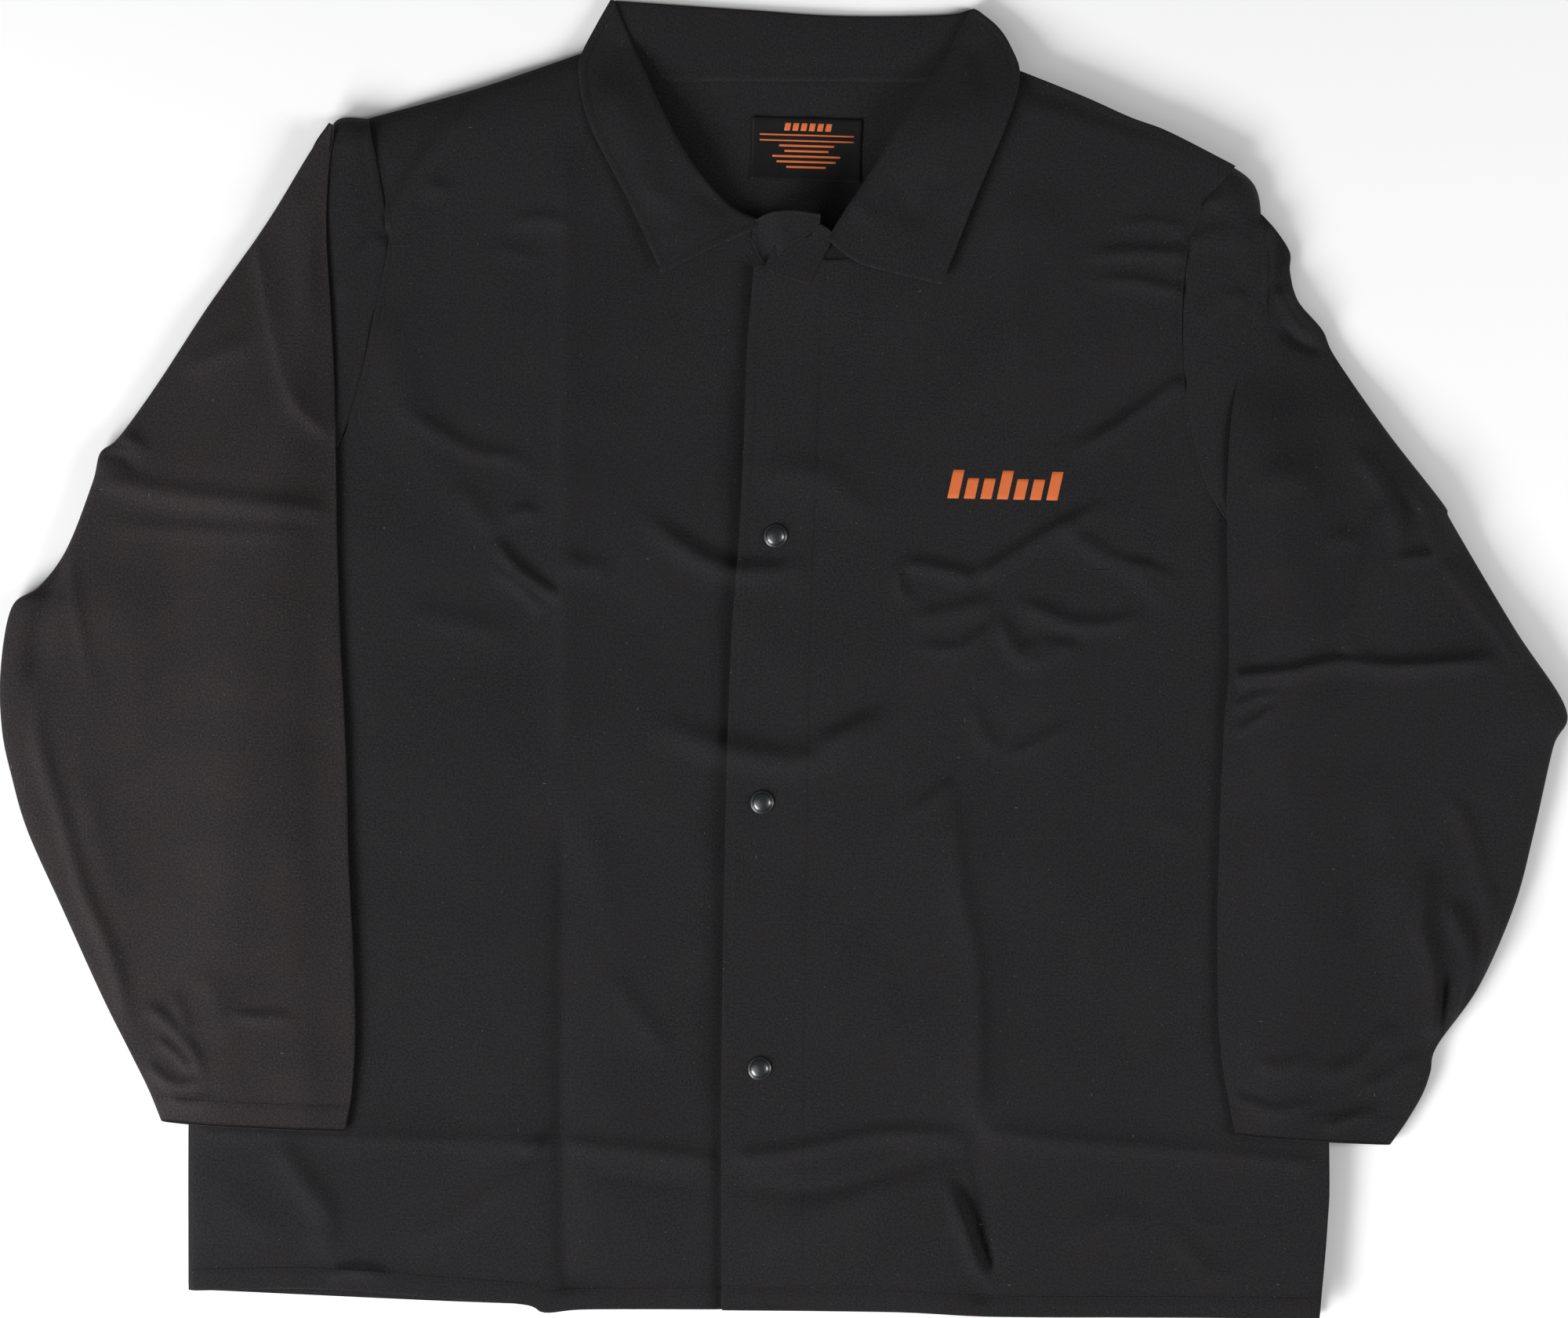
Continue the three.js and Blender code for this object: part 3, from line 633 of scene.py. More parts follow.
CHEST = [
    fold([[-98, 96], [-58, 66], [-28, 54], [22, 57]], 3.4, 7, ends=(0.35, 0.3)),
    fold([[-140, 62], [-120, 56], [-104, 62]], 2.2, 7, ends=(0.3, 0.4)),
    fold([[-30, 116], [24, 112], [48, 92], [78, 90]], 2.0, 11, ends=(0.4, 0.4)),
    fold([[-100, -34], [-64, -47], [-28, -58], [14, -62], [50, -44], [84, -20]], 3.4, 9, ends=(0.35, 0.3)),
    fold([[12, -54], [40, -44], [62, -30]], 2.2, 6, ends=(0.4, 0.4)),
    fold([[68, 60], [92, 56], [120, 49]], 2.6, 4.5, ends=(0.25, 0.15)),
    fold([[118, 48], [146, 66], [180, 86], [206, 98]], 3.4, 5, ends=(0.1, 0.35)),
    fold([[72, 62], [71, 46], [80, 32]], 1.6, 3.5, ends=(0.3, 0.3)),
    fold([[76, 24], [100, 28], [132, 36]], 2.2, 5, ends=(0.3, 0.2)),
    fold([[78, 8], [108, 6], [131, 22]], 2.2, 4, ends=(0.3, 0.2)),
    fold([[128, 30], [146, 2], [160, 0], [180, 12]], 2.4, 4.5, ends=(0.2, 0.3)),
    fold([[140, 38], [176, 22], [204, 22], [230, 30]], 2.6, 4.5, ends=(0.2, 0.3)),
    fold([[160, 92], [188, 70], [222, 50], [250, 22]], 2.0, 6, ends=(0.3, 0.3)),
    fold([[206, 60], [226, 56], [248, 44]], 1.8, 4, ends=(0.3, 0.3)),
    fold([[140, 2], [164, 9], [190, 2]], 1.8, 4, ends=(0.3, 0.4)),
    fold([[132, -62], [152, -55], [182, -38]], 2.2, 4.5, ends=(0.3, 0.4)),
    fold([[116, -22], [122, -44], [133, -60]], 1.8, 5, ends=(0.4, 0.2)),
    fold([[74, -99], [90, -88], [104, -74]], 2.0, 4.5, ends=(0.4, 0.2)),
    fold([[174, 124], [212, 147], [252, 176]], 3.2, 5, ends=(0.35, 0.15)),
    fold([[160, 128], [196, 150], [232, 186]], -1.8, 9, ends=(0.4, 0.3)),
]
SIDES = [
    fold([[176, 248], [212, 251], [252, 250]], 2.0, 4, ends=(0.4, 0.1)),
    fold([[182, 234], [216, 233], [250, 226]], 1.8, 4, ends=(0.4, 0.1)),
    fold([[200, 266], [226, 270], [250, 266]], 1.4, 4, ends=(0.4, 0.1)),
    fold([[150, 300], [170, 250], [176, 200]], 1.6, 12, ends=(0.4, 0.4)),
    fold([[-250, 262], [-228, 300], [-206, 330], [-196, 348]], 2.4, 5, ends=(0.1, 0.2)),
    fold([[-222, 300], [-214, 290], [-206, 298]], 1.6, 5, ends=(0.4, 0.4)),
    fold([[-174, 270], [-150, 272], [-128, 268]], 1.6, 4.5, ends=(0.4, 0.3)),
    fold([[-184, 252], [-168, 252], [-150, 246]], 1.2, 4, ends=(0.4, 0.3)),
    fold([[-245, 160], [-196, 130], [-168, 124], [-148, 108]], 1.8, 5, ends=(0.3, 0.3)),
    fold([[-172, 84], [-160, 92], [-152, 84]], 2.0, 4, ends=(0.3, 0.4)),
    fold([[-180, 78], [-170, 60], [-150, 44], [-137, 36]], 3.2, 4, ends=(0.25, 0.15)),
    fold([[-184, 58], [-166, 46], [-146, 28]], 2.4, 4, ends=(0.3, 0.2)),
    fold([[-206, 110], [-190, 92], [-180, 74]], 1.6, 6, ends=(0.4, 0.3)),
    fold([[-240, 30], [-200, 22], [-160, 10]], 1.4, 8, ends=(0.3, 0.4)),
    fold([[-114, -187], [-80, -234], [-66, -256]], 1.4, 6, ends=(0.4, 0.4)),
    fold([[-120, -90], [-112, -150], [-104, -190]], 1.2, 10, ends=(0.3, 0.4)),
    fold([[-262, 230], [-228, 150], [-190, 60]], 1.8, 14, ends=(0.2, 0.5)),
    fold([[-314, -296], [-300, -320], [-283, -345], [-289, -374]], 2.6, 8, ends=(0.15, 0.2)),
    fold([[-284, -387], [-270, -378], [-240, -382]], 2.6, 4, ends=(0.3, 0.4)),
    fold([[-238, -368], [-200, -345], [-150, -308]], 1.8, 7, ends=(0.3, 0.3)),
    fold([[-350, -330], [-320, -350], [-300, -340]], 1.2, 10, ends=(0.4, 0.4)),
    fold([[170, -365], [206, -346], [234, -358]], 1.8, 9, ends=(0.35, 0.35)),
    fold([[228, -336], [246, -360], [268, -381], [304, -364]], 1.8, 7, ends=(0.35, 0.35)),
    fold([[246, -332], [262, -350], [276, -346]], 1.5, 5, ends=(0.35, 0.35)),
    fold([[228, -96], [244, -104], [252, -98]], 1.6, 7, ends=(0.4, 0.4)),
]
FRONT_FOLDS = PRESSED + SLASH + CHEST + SIDES
print("folds in the fronts:", len(FRONT_FOLDS))

# %% [markdown]
# ## Height of the two fronts
# A front is held in a few places: flat under each snap, doubled and stitched at its edges, and
# turned down at the side and the shoulder. In between it is free to fold and to swell. So its height
# is a base that knows the layers, plus the folds and a soft unevenness, calmed near the snaps.

# %% Height of the two fronts
SNAPS = [np.mean(node_box(f"{n}_snap_cap"), axis=0)[:2] for n in ("top", "middle", "bottom")]
THROAT_Y = 290.0
HELD_YS = [snap[1] for snap in SNAPS] + [THROAT_Y]
SEAM_Z = 5.5
SHOULDER_Z = 3.6
RIGHT_RUN = 34
LEFT_RISE = 26
LEFT_RUN = 52
HEM_DEPTH = 13.0


def calm(xy):
    """0 at each snap and 1 away from it, as 1 - exp(-(r/15)^4): the discs hold the cloth flat."""
    out = np.ones(xy.shape[:-1])
    for snap in SNAPS:
        r = np.hypot(xy[..., 0] - snap[0], xy[..., 1] - snap[1])
        out *= 1 - np.exp(-(r / 15) ** 4)
    return out


def turned_edge(xy, edge, depth=HEM_DEPTH, rise=0.9, stitch=0.5):
    """Extra height of a turned edge: a step of rise up to depth from the edge, less a narrow groove
    stitch * exp(-(d / 1.3)^2) just inside it, where the stitching pulls the cloth in."""
    _, off = along_and_off(xy, edge)
    d = np.abs(off)
    ply = rise * smooth((depth + 1.5 - d) / 2.0)
    groove = stitch * np.exp(-((d - depth + 1.2) / 1.3) ** 2)
    return ply - groove


PLACKET_LINE = curve(PLACKET, 200)
PLACKET_HEM = (6.0, 0.35, 0.45)


def right_front_height(xy):
    """The right front lies level, turning down to the side seam and the shoulder seam, and dipping by
    2.2 exp(-d / 2.2) mm towards the placket that presses on it. Its folds fade out below the left
    front."""
    base = ramp_to_edge(xy, SIDE_RIGHT, SEAM_Z, front_low, RIGHT_RUN)
    base = np.minimum(base, ramp_to_edge(xy, SHOULDER_RIGHT, SHOULDER_Z, front_low, RIGHT_RUN))
    _, off = along_and_off(xy, PLACKET_LINE)
    dip = 2.2 * np.exp(-np.abs(off) / 2.2)
    shown = 1 - 0.9 * smooth((-off - 3) / 14)
    loft = total(FRONT_FOLDS, xy) + swell(xy, 150, 3, 1.5) + swell(xy, 44, 7, 0.4)
    return base + calm(xy) * (shown * loft - dip)


def left_front_height(xy):
    """The left front stands on the snaps, sags a little between them and falls away towards the side.
    The soft maximum under + log(1 + exp(cloth - under)) keeps it off the right front below."""
    x, y = xy[..., 0], xy[..., 1]
    between = np.min([np.abs(y - held) for held in HELD_YS], axis=0)
    sag = 1.0 * smooth((between - 12) / 55) * smooth((40 - x) / 60)
    base = front_low + (front_high - front_low - sag) * smooth((262 - x) / 150)
    base = np.minimum(base, ramp_to_edge(xy, SIDE_LEFT, SEAM_Z, LEFT_RISE, LEFT_RUN))
    shoulder = ramp_to_edge(xy, SHOULDER_LEFT, SHOULDER_Z, LEFT_RISE, LEFT_RUN)
    loft = total(FRONT_FOLDS, xy) + swell(xy, 150, 5, 1.5) + swell(xy, 44, 9, 0.4)
    cloth = np.minimum(base, shoulder) + calm(xy) * loft
    under = front_low + 3.2 * smooth((34 - x) / 20)
    return under + np.log1p(np.exp(cloth - under))


print("snaps at:", [[round(float(v), 1) for v in snap] for snap in SNAPS])

# %% [markdown]
# ## Right front and left front
# Each front is a Coons patch: four outline curves, filled smoothly between. The patch has no seams
# to hide, and its grid follows the hem and the placket, so their turned edges come out clean.

# %% Front panels
def panel_grid(bottom, top, left, right, height, lifts=()):
    """A Coons patch lifted to height, with extra lifts such as turned edges added."""
    flat = coons(bottom, top, left, right)
    z = height(flat) + sum(lift(flat) for lift in lifts)
    return np.dstack([flat, z])


ROWS = 260
OUTER_PLY = 0.9
FRONT_BEND = (6, 6)
right_grid = panel_grid(HEM_RIGHT, corner_join(SHOULDER_RIGHT, NECK_RIGHT, count=130),
                        corner_join(SIDE_RIGHT, ARM_RIGHT, count=ROWS),
                        polyline([[12, -402], [12, 252]], ROWS), right_front_height,
                        [lambda xy: turned_edge(xy, HEM_RIGHT)])
right_front = cloth_shell("right_front_cloth", right_grid, OUTER_PLY, materials=[cotton])

left_grid = panel_grid(HEM_LEFT, corner_join(NECK_LEFT, SHOULDER_LEFT, count=126),
                       resample(PLACKET_LINE, ROWS), corner_join(SIDE_LEFT, ARM_LEFT, count=ROWS),
                       left_front_height,
                       [lambda xy: turned_edge(xy, HEM_LEFT),
                        lambda xy: turned_edge(xy, PLACKET_LINE, *PLACKET_HEM)])
left_front = cloth_shell("left_front_cloth", left_grid, OUTER_PLY, materials=[cotton])

dress(right_front, None, ("right_front", "right_front_flap"))
dress(left_front, None, ("left_front", "left_front_flap"))
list(across_joint("right_front_opening", *FRONT_BEND))
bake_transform(right_front)
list(across_joint("left_front_opening", *FRONT_BEND))
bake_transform(left_front)


def sheet_area(grid):
    """Area of a grid in square metres, from the cross products of its cells' diagonals."""
    a = grid[1:, 1:] - grid[:-1, :-1]
    b = grid[1:, :-1] - grid[:-1, 1:]
    return float(np.linalg.norm(np.cross(a, b), axis=-1).sum() / 2) * MM * MM


def lay_sheet(obj, grid, size):
    """Prints a cloth piece's name, the size it was cut to and the area of its grid in square metres."""
    print(obj.name, "cut", size, "area", round(sheet_area(grid), 4))


lay_sheet(right_front, right_grid, (0.39, 0.79))
lay_sheet(left_front, left_grid, (0.38, 0.79))

# %% [markdown]
# ## Back
# The back is one panel, seen inside the neck and at the hem. It lies flat, turns up to the side seams
# and is lifted at the top by the collar's fall under it. It is made as the fronts are, and only its
# height formula differs.

# %% Back panel
BACK_NECK = [[-124, 376], [-112, 365], [-97, 361], [0, 360], [110, 361], [132, 363], [145, 364]]


def back_height(xy):
    """Flat on the table, up to the side seams over 30 mm, up on the collar's fall near the neck, and
    lofted under the throat."""
    right_side, left_side = (ramp_to_edge(xy, seam, 0, 3.6, 30) for seam in (SIDE_RIGHT, SIDE_LEFT))
    sides = 4.6 - np.minimum(right_side, left_side)
    neck = 1.4 * smooth((xy[..., 1] - 275) / 40)
    throat = 11.0 * np.exp(-((xy[..., 1] - 266) / 26) ** 2 - ((xy[..., 0] - 10) / 70) ** 4)
    return np.maximum(sides, back_top + neck + throat + 0.4 + swell(xy, 120, 11, 0.35))


BACK_HEM = curve([[-369, -391], [-161, -400], [0, -402], [132, -406], [331, -408]], 150)
back_grid = panel_grid(BACK_HEM, corner_join(SHOULDER_RIGHT, BACK_NECK, SHOULDER_LEFT, count=150),
                       corner_join(SIDE_RIGHT, ARM_RIGHT, count=160),
                       corner_join(SIDE_LEFT, ARM_LEFT, count=160), back_height)
back_cloth = cloth_shell("back_cloth", back_grid, OUTER_PLY, materials=[inner_cotton])
dress(back_cloth, "body", ("back_panel",))
lay_sheet(back_cloth, back_grid, (0.72, 0.79))

# %% [markdown]
# ## Facings
# A facing is the strip that lines a front edge, sewn on so that the edge is clean and strong enough
# for the snaps. It follows its front, so it asks that front's own height formula, a little lower.

# %% Facings
LINING_PLY = 0.8
FACING_WIDTH = 46.0
FACING_DROP = 1.3


def beside(line, distance):
    """A curve moved sideways, distance to its right."""
    run = np.gradient(line, axis=0)
    run /= np.linalg.norm(run, axis=1, keepdims=True)
    return line + np.stack([run[:, 1], -run[:, 0]], 1) * distance


def facing(name, edge, far_edge, height, nodes, hinge):
    """A strip behind a front edge, following the front's own height a little below it."""
    share = np.linspace(0, 1, 20)[None, :, None]
    flat = edge[:, None] * (1 - share) + far_edge[:, None] * share
    grid = np.dstack([flat, height(flat) - FACING_DROP])
    obj = cloth_shell(name, grid, LINING_PLY, materials=[inner_cotton])
    dress(obj, None, nodes)
    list(across_joint(hinge, *FRONT_BEND))
    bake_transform(obj)
    lay_sheet(obj, grid, (0.05, 0.665))


left_edge = beside(resample(PLACKET_LINE, ROWS), 1.2)
facing("left_facing_cloth", left_edge, beside(left_edge, FACING_WIDTH), left_front_height,
       ("left_facing", "left_facing_flap"), "left_front_opening")
right_edge = polyline([[11, -401], [11, 250]], ROWS)
facing("right_facing_cloth", beside(right_edge, -FACING_WIDTH), right_edge, right_front_height,
       ("right_facing", "right_facing_flap"), "right_front_opening")

# %% [markdown]
# ## Inside pocket
# The pocket is a patch sewn to the wrong side of the left front and open at the top. Only its
# stitching shows from outside, but it is there when the front is opened. Its rounded lower corners
# come from narrowing each row of the grid as a quarter circle does.

# %% Inside pocket
POCKET_LOW, POCKET_HIGH = node_box("inside_pocket")


def pocket_cloth():
    """A patch with two rounded lower corners: its half width shrinks as a quarter circle near the
    bottom. It stands off the front by a pouch of 3.2 (1 - u^4) mm."""
    v = np.linspace(0, 1, 60)[:, None]
    u = np.linspace(-1, 1, 48)[None, :]
    width, depth = (POCKET_HIGH - POCKET_LOW)[:2]
    corner = 22.0
    up = v * depth
    bend = corner - np.sqrt(np.maximum(corner ** 2 - (corner - up) ** 2, 0))
    inset = np.where(up < corner, bend, 0)
    x = (POCKET_LOW[0] + POCKET_HIGH[0]) / 2 + u * (width / 2 - inset)
    flat = np.dstack([x, np.broadcast_to(POCKET_LOW[1] + up, x.shape)])
    pouch = 3.2 * (1 - u ** 4) * smooth(v * 4)
    grid = np.dstack([flat, left_front_height(flat) - 1.4 - pouch])
    obj = cloth_shell("inside_pocket_cloth", grid, LINING_PLY, materials=[inner_cotton])
    dress(obj, "body", ("inside_pocket",))
    lay_sheet(obj, grid, (0.13, 0.17))


pocket_cloth()

# %% [markdown]
# ## Sleeves
# A sleeve is a tube pressed nearly flat. Its rows run from the fold line beside the body to the outer
# edge; around each row the section is half an ellipse above and a flatter one below. The tube stays
# hollow, with real cloth thickness, and is open at the cuff.

# %% Sleeve outlines and folds
SLEEVE_INNER = {
    "right": [[-279, 330], [-282, 296], [-283, 262], [-280, 214], [-278, 175], [-277, 131], [-276, 68],
              [-274, 10], [-272, -29], [-270, -78], [-269, -126], [-266, -185], [-265, -233],
              [-267, -267], [-271, -292]],
    "left": [[294, 276], [294, 240], [286, 226], [285, 196], [277, 152], [274, 107], [274, 74], [275, 19],
             [275, -9], [272, -43], [269, -117], [268, -185], [270, -242], [279, -294]],
}
SLEEVE_OUTER = {
    "right": [[-281, 331], [-294, 313], [-321, 270], [-357, 219], [-389, 170], [-413, 137], [-424, 128],
              [-429, 109], [-445, 68], [-462, 45], [-479, 32], [-486, -8], [-485, -44], [-479, -73],
              [-469, -107], [-447, -156], [-423, -209], [-406, -243], [-394, -267], [-386, -286]],
    "left": [[297, 275], [306, 265], [314, 252], [314, 240], [319, 222], [334, 204], [342, 187], [374, 141],
             [409, 96], [414, 85], [453, 19], [485, -31], [477, -55], [465, -108], [453, -153], [431, -203],
             [405, -240], [401, -256], [396, -270], [386, -287], [376, -301]],
}
SLEEVE_FOLDS = {
    "right": [
        fold([[-329, 268], [-318, 212], [-304, 162], [-278, 134]], 3.0, 5, "crease", ends=(0.2, 0.1),
             lean=-0.5),
        fold([[-423, 140], [-405, 136], [-390, 124]], 2.2, 3.5, ends=(0.2, 0.5)),
        fold([[-426, 128], [-408, 124], [-396, 112]], -1.8, 3, ends=(0.2, 0.5)),
        fold([[-426, 112], [-372, 101], [-278, 90]], 2.6, 7, ends=(0.1, 0.1)),
        fold([[-430, 84], [-350, 78], [-278, 78]], 1.2, 6, ends=(0.3, 0.2)),
        fold([[-440, 66], [-437, 30], [-433, 8], [-428, -30]], 2.2, 4, ends=(0.3, 0.4)),
        fold([[-446, 70], [-460, 28], [-468, -20]], -4.0, 7, ends=(0.2, 0.3)),
        fold([[-452, -10], [-461, -47], [-447, -97], [-434, -142], [-415, -188], [-404, -240]], 3.4, 6,
             ends=(0.2, 0.2)),
        fold([[-436, -60], [-426, -110], [-410, -160]], 2.0, 9, ends=(0.3, 0.4)),
        fold([[-345, -219], [-325, -221], [-300, -221]], 2.0, 4, ends=(0.3, 0.3)),
        fold([[-398, -212], [-380, -226], [-364, -244], [-358, -262]], 2.8, 4.5, ends=(0.2, 0.2)),
        fold([[-392, -234], [-378, -242], [-364, -256]], 2.4, 3.5, ends=(0.3, 0.2)),
        fold([[-396, -250], [-376, -263], [-352, -258]], 2.4, 4, ends=(0.2, 0.3)),
        fold([[-386, -268], [-368, -274], [-350, -268]], 1.8, 4, ends=(0.3, 0.3)),
        fold([[-378, -204], [-372, -220], [-366, -232]], 1.8, 4, ends=(0.3, 0.2)),
        fold([[-370, -190], [-352, -206], [-346, -240]], 1.6, 8, ends=(0.3, 0.3)),
        fold([[-340, 40], [-346, -80], [-350, -170]], 2.4, 24, ends=(0.3, 0.3)),
        fold([[-300, 60], [-304, -60], [-296, -190]], 1.2, 12, ends=(0.3, 0.3)),
        fold([[-400, 60], [-402, 0], [-396, -60]], 1.6, 16, ends=(0.3, 0.3)),
        fold([[-300, 300], [-296, 240], [-290, 190]], 1.8, 10, ends=(0.2, 0.4)),
        fold([[-378, 176], [-346, 190], [-322, 196]], 1.6, 7, ends=(0.3, 0.4)),
    ],
    "left": [
        fold([[297, 270], [297, 250], [299, 222]], 3.5, 5, ends=(0.2, 0.4)),
        fold([[304, 232], [318, 208], [334, 196]], 3.0, 5, ends=(0.2, 0.3)),
        fold([[306, 206], [320, 196], [338, 190]], -2.2, 4, ends=(0.2, 0.4)),
        fold([[277, -12], [313, -8], [344, -2], [378, -5], [444, -1]], 4.4, 4.5, ends=(0.03, 0.15)),
        fold([[371, 102], [356, 48], [345, 2]], 3.2, 5, "crease", ends=(0.15, 0.05), lean=-0.5),
        fold([[348, 136], [366, 110], [377, 88], [378, 66]], 2.6, 5, ends=(0.3, 0.2)),
        fold([[374, 60], [388, 62], [402, 66], [397, 88]], 2.2, 4, ends=(0.2, 0.3)),
        fold([[378, 118], [398, 92], [418, 62]], 2.2, 6, ends=(0.3, 0.3)),
        fold([[402, 66], [432, 29], [466, -14]], 2.0, 5, ends=(0.2, 0.3)),
        fold([[290, 120], [308, 112], [330, 118]], 2.2, 11, ends=(0.4, 0.4)),
        fold([[330, 66], [344, 74], [356, 66]], 1.6, 6, ends=(0.4, 0.4)),
        fold([[279, -46], [292, -38], [307, -27]], 1.8, 3.5, ends=(0.1, 0.4)),
        fold([[278, -30], [294, -23], [308, -22]], 1.6, 3, ends=(0.1, 0.4)),
        fold([[405, -78], [420, -101], [432, -140]], 2.2, 4, ends=(0.3, 0.3)),
        fold([[398, -118], [392, -160], [398, -184], [402, -210], [402, -238]], 4.2, 5.5, ends=(0.25, 0.1)),
        fold([[407, -143], [415, -163], [422, -182], [416, -209], [410, -232]], 3.6, 4.5, ends=(0.2, 0.15)),
        fold([[424, -120], [436, -152], [436, -180], [424, -208]], 2.4, 5, ends=(0.3, 0.3)),
        fold([[409, -188], [408, -212], [406, -238]], -2.4, 3.5, ends=(0.4, 0.3)),
        fold([[380, -222], [355, -250], [322, -258]], 2.6, 6, ends=(0.2, 0.3)),
        fold([[392, -244], [372, -260], [350, -266]], 2.0, 5, ends=(0.2, 0.3)),
        fold([[332, -291], [352, -283], [372, -281]], 2.2, 4, ends=(0.2, 0.3)),
        fold([[274, -270], [302, -278], [333, -274]], 2.0, 4, ends=(0.2, 0.3)),
        fold([[286, -248], [306, -252], [330, -244]], 1.6, 5, ends=(0.3, 0.3)),
        fold([[366, -60], [376, -120], [380, -180]], 2.2, 14, ends=(0.3, 0.4)),
        fold([[330, -50], [334, -140], [334, -230]], 1.8, 22, ends=(0.3, 0.3)),
    ],
}
print("folds in the sleeves:", {side: len(folds) for side, folds in SLEEVE_FOLDS.items()})

# %% [markdown]
# ## The sleeve as a tube
# A sleeve lying down is not a flat plate: air keeps its two plies apart at the elbow, and it is
# pressed nearly flat at the shoulder. It climbs from the table onto the front where it crosses the
# side seam. One grid goes right round it, so the round fold at each side has no seam.

# %% Sleeve surface
BODY_SIDE = {"right": ((-369, -390), (-343, 58)), "left": ((333, -408), (321, 39))}
SLEEVE_CLEAR = front_low + 2.0
SLEEVE_FLOOR = 3.0


def sleeve_under_height(side, xy):
    """Height of a sleeve's underside: over the front, then down to the table beside the body."""
    (hem_x, hem_y), (arm_x, arm_y) = BODY_SIDE[side]
    y = xy[..., 1]
    seam = hem_x + (arm_x - hem_x) * (y - hem_y) / (arm_y - hem_y)
    inward = smooth((y - arm_y - 42) / 100) * 38
    inside = xy[..., 0] - seam - inward if side == "right" else seam - inward - xy[..., 0]
    return SLEEVE_FLOOR + (SLEEVE_CLEAR - SLEEVE_FLOOR) * smooth((inside + 42) / 64)


def sleeve_rise(s):
    """Height between the plies along the sleeve: 9 mm at the shoulder, 19 at the elbow, 11 at the
    cuff, with a smooth step between them."""
    return np.where(s < 0.5, 9 + 10 * smooth(s / 0.5), 19 - 8 * smooth((s - 0.5) / 0.5))


AROUND = 176
SLEEVE_ROWS = 250
CUFF_DEPTH = 16.0


def sleeve_grid(side):
    """The tube's outer face: at angle phi the place across is (1 - cos phi) / 2 and the height is the
    underside plus a fold radius plus rise * sin(phi)^0.7 above, held down over the quarter next to
    the pressed fold, or minus the radius below."""
    inner = curve(SLEEVE_INNER[side], SLEEVE_ROWS)[:, None]
    outer = curve(SLEEVE_OUTER[side], SLEEVE_ROWS)[:, None]
    s = np.linspace(0, 1, SLEEVE_ROWS)[:, None]
    phi = np.linspace(0, 2 * math.pi, AROUND, endpoint=False)[None, :]
    across = ((1 - np.cos(phi)) / 2)[..., None]
    xy = inner + (outer - inner) * across
    sine = np.sin(phi)
    upper = np.maximum(sine, 0)
    width = np.linalg.norm(outer - inner, axis=-1)
    radius = 2.2 * np.minimum(1, width / 40) + 0.3
    rise = sleeve_rise(s) * np.minimum(1, width / 90)
    held = 0.3 + 0.7 * smooth(across[..., 0] * 4)
    z = sleeve_under_height(side, xy) + radius + rise * upper ** 0.7 * held
    z = z - radius * np.maximum(-sine, 0) ** 0.5
    loft = total(SLEEVE_FOLDS[side], xy) + swell(xy, 110, 21, 1.5) + swell(xy, 40, 23, 0.4)
    cuff = turned_edge(xy, np.array([inner[-1, 0], outer[-1, 0]]), CUFF_DEPTH, 0.9, 0.5)
    z = z + smooth(upper * 2.2) * loft + np.minimum(1, upper * 5) * cuff
    return np.dstack([xy, z])


def tube_shell(name, grid, thick, materials):
    """A hollow tube with walls: the outer grid, the inner grid moved in along the normals, and at
    each end a rim of two sloping rings that meet between the two walls."""
    rows, cols = grid.shape[:2]
    wrapped = np.concatenate([grid[:, -1:], grid, grid[:, :1]], 1)
    normal = grid_normals(wrapped)[:, 1:-1]
    inner = grid - normal * thick
    ends = []
    for row, way in ((0, -1), (rows - 1, 1)):
        step = grid[row] - grid[row - way]
        out = step / np.maximum(np.linalg.norm(step, axis=-1, keepdims=True), 1e-9)
        ends.append((grid[row] + inner[row]) / 2 + out * thick * 0.45)
    points = np.concatenate([grid.reshape(-1, 3), inner.reshape(-1, 3), ends[0], ends[1]])
    wall = rows * cols
    ring = np.arange(cols)
    faces = [quads(rows, cols, around=True), quads(rows, cols, wall, around=True, flip=True)]
    for offset, base, turn in ((0, 2 * wall, False), ((rows - 1) * cols, 2 * wall + cols, True)):
        for a, b in ((ring + offset, ring + base), (ring + base, ring + offset + wall)):
            face = np.stack([a, b, np.roll(b, -1), np.roll(a, -1)], 1)
            faces.append(face if turn else face[:, ::-1])
    uv = np.concatenate([grid[..., :2].reshape(-1, 2), inner[..., :2].reshape(-1, 2),
                         ends[0][:, :2], ends[1][:, :2]]) * MM
    return make_mesh(name, points, np.concatenate(faces), uv, materials)


print("sleeve grid:", SLEEVE_ROWS, "rows of", AROUND, "points")

# %% [markdown]
# ## Both sleeves
# The two sleeves come from the same function with their own outlines and folds. The right one has a
# lighter, browner copy of the cloth, which is painted warm light. Each rides on its own body, so it can be
# folded up.

# %% Both sleeves
# The right sleeve takes the lighter, browner copy of the cloth: painted warm light.
for side, cloth in (("right", lit_sleeve_cotton), ("left", cotton)):
    grid = sleeve_grid(side)
    if side == "left":
        grid = grid[:, ::-1]
    sleeve = tube_shell(f"{side}_sleeve_cloth", grid, OUTER_PLY, [cloth])
    dress(sleeve, f"{side}_sleeve", (f"{side}_top_sleeve", f"{side}_under_sleeve"))

# %% [markdown]
# ## Sleeve heads
# Between the armhole seam and the sleeve's fold a strip of the sleeve still belongs to the body. It
# swells from the seam, then dips and runs on under the folded sleeve.

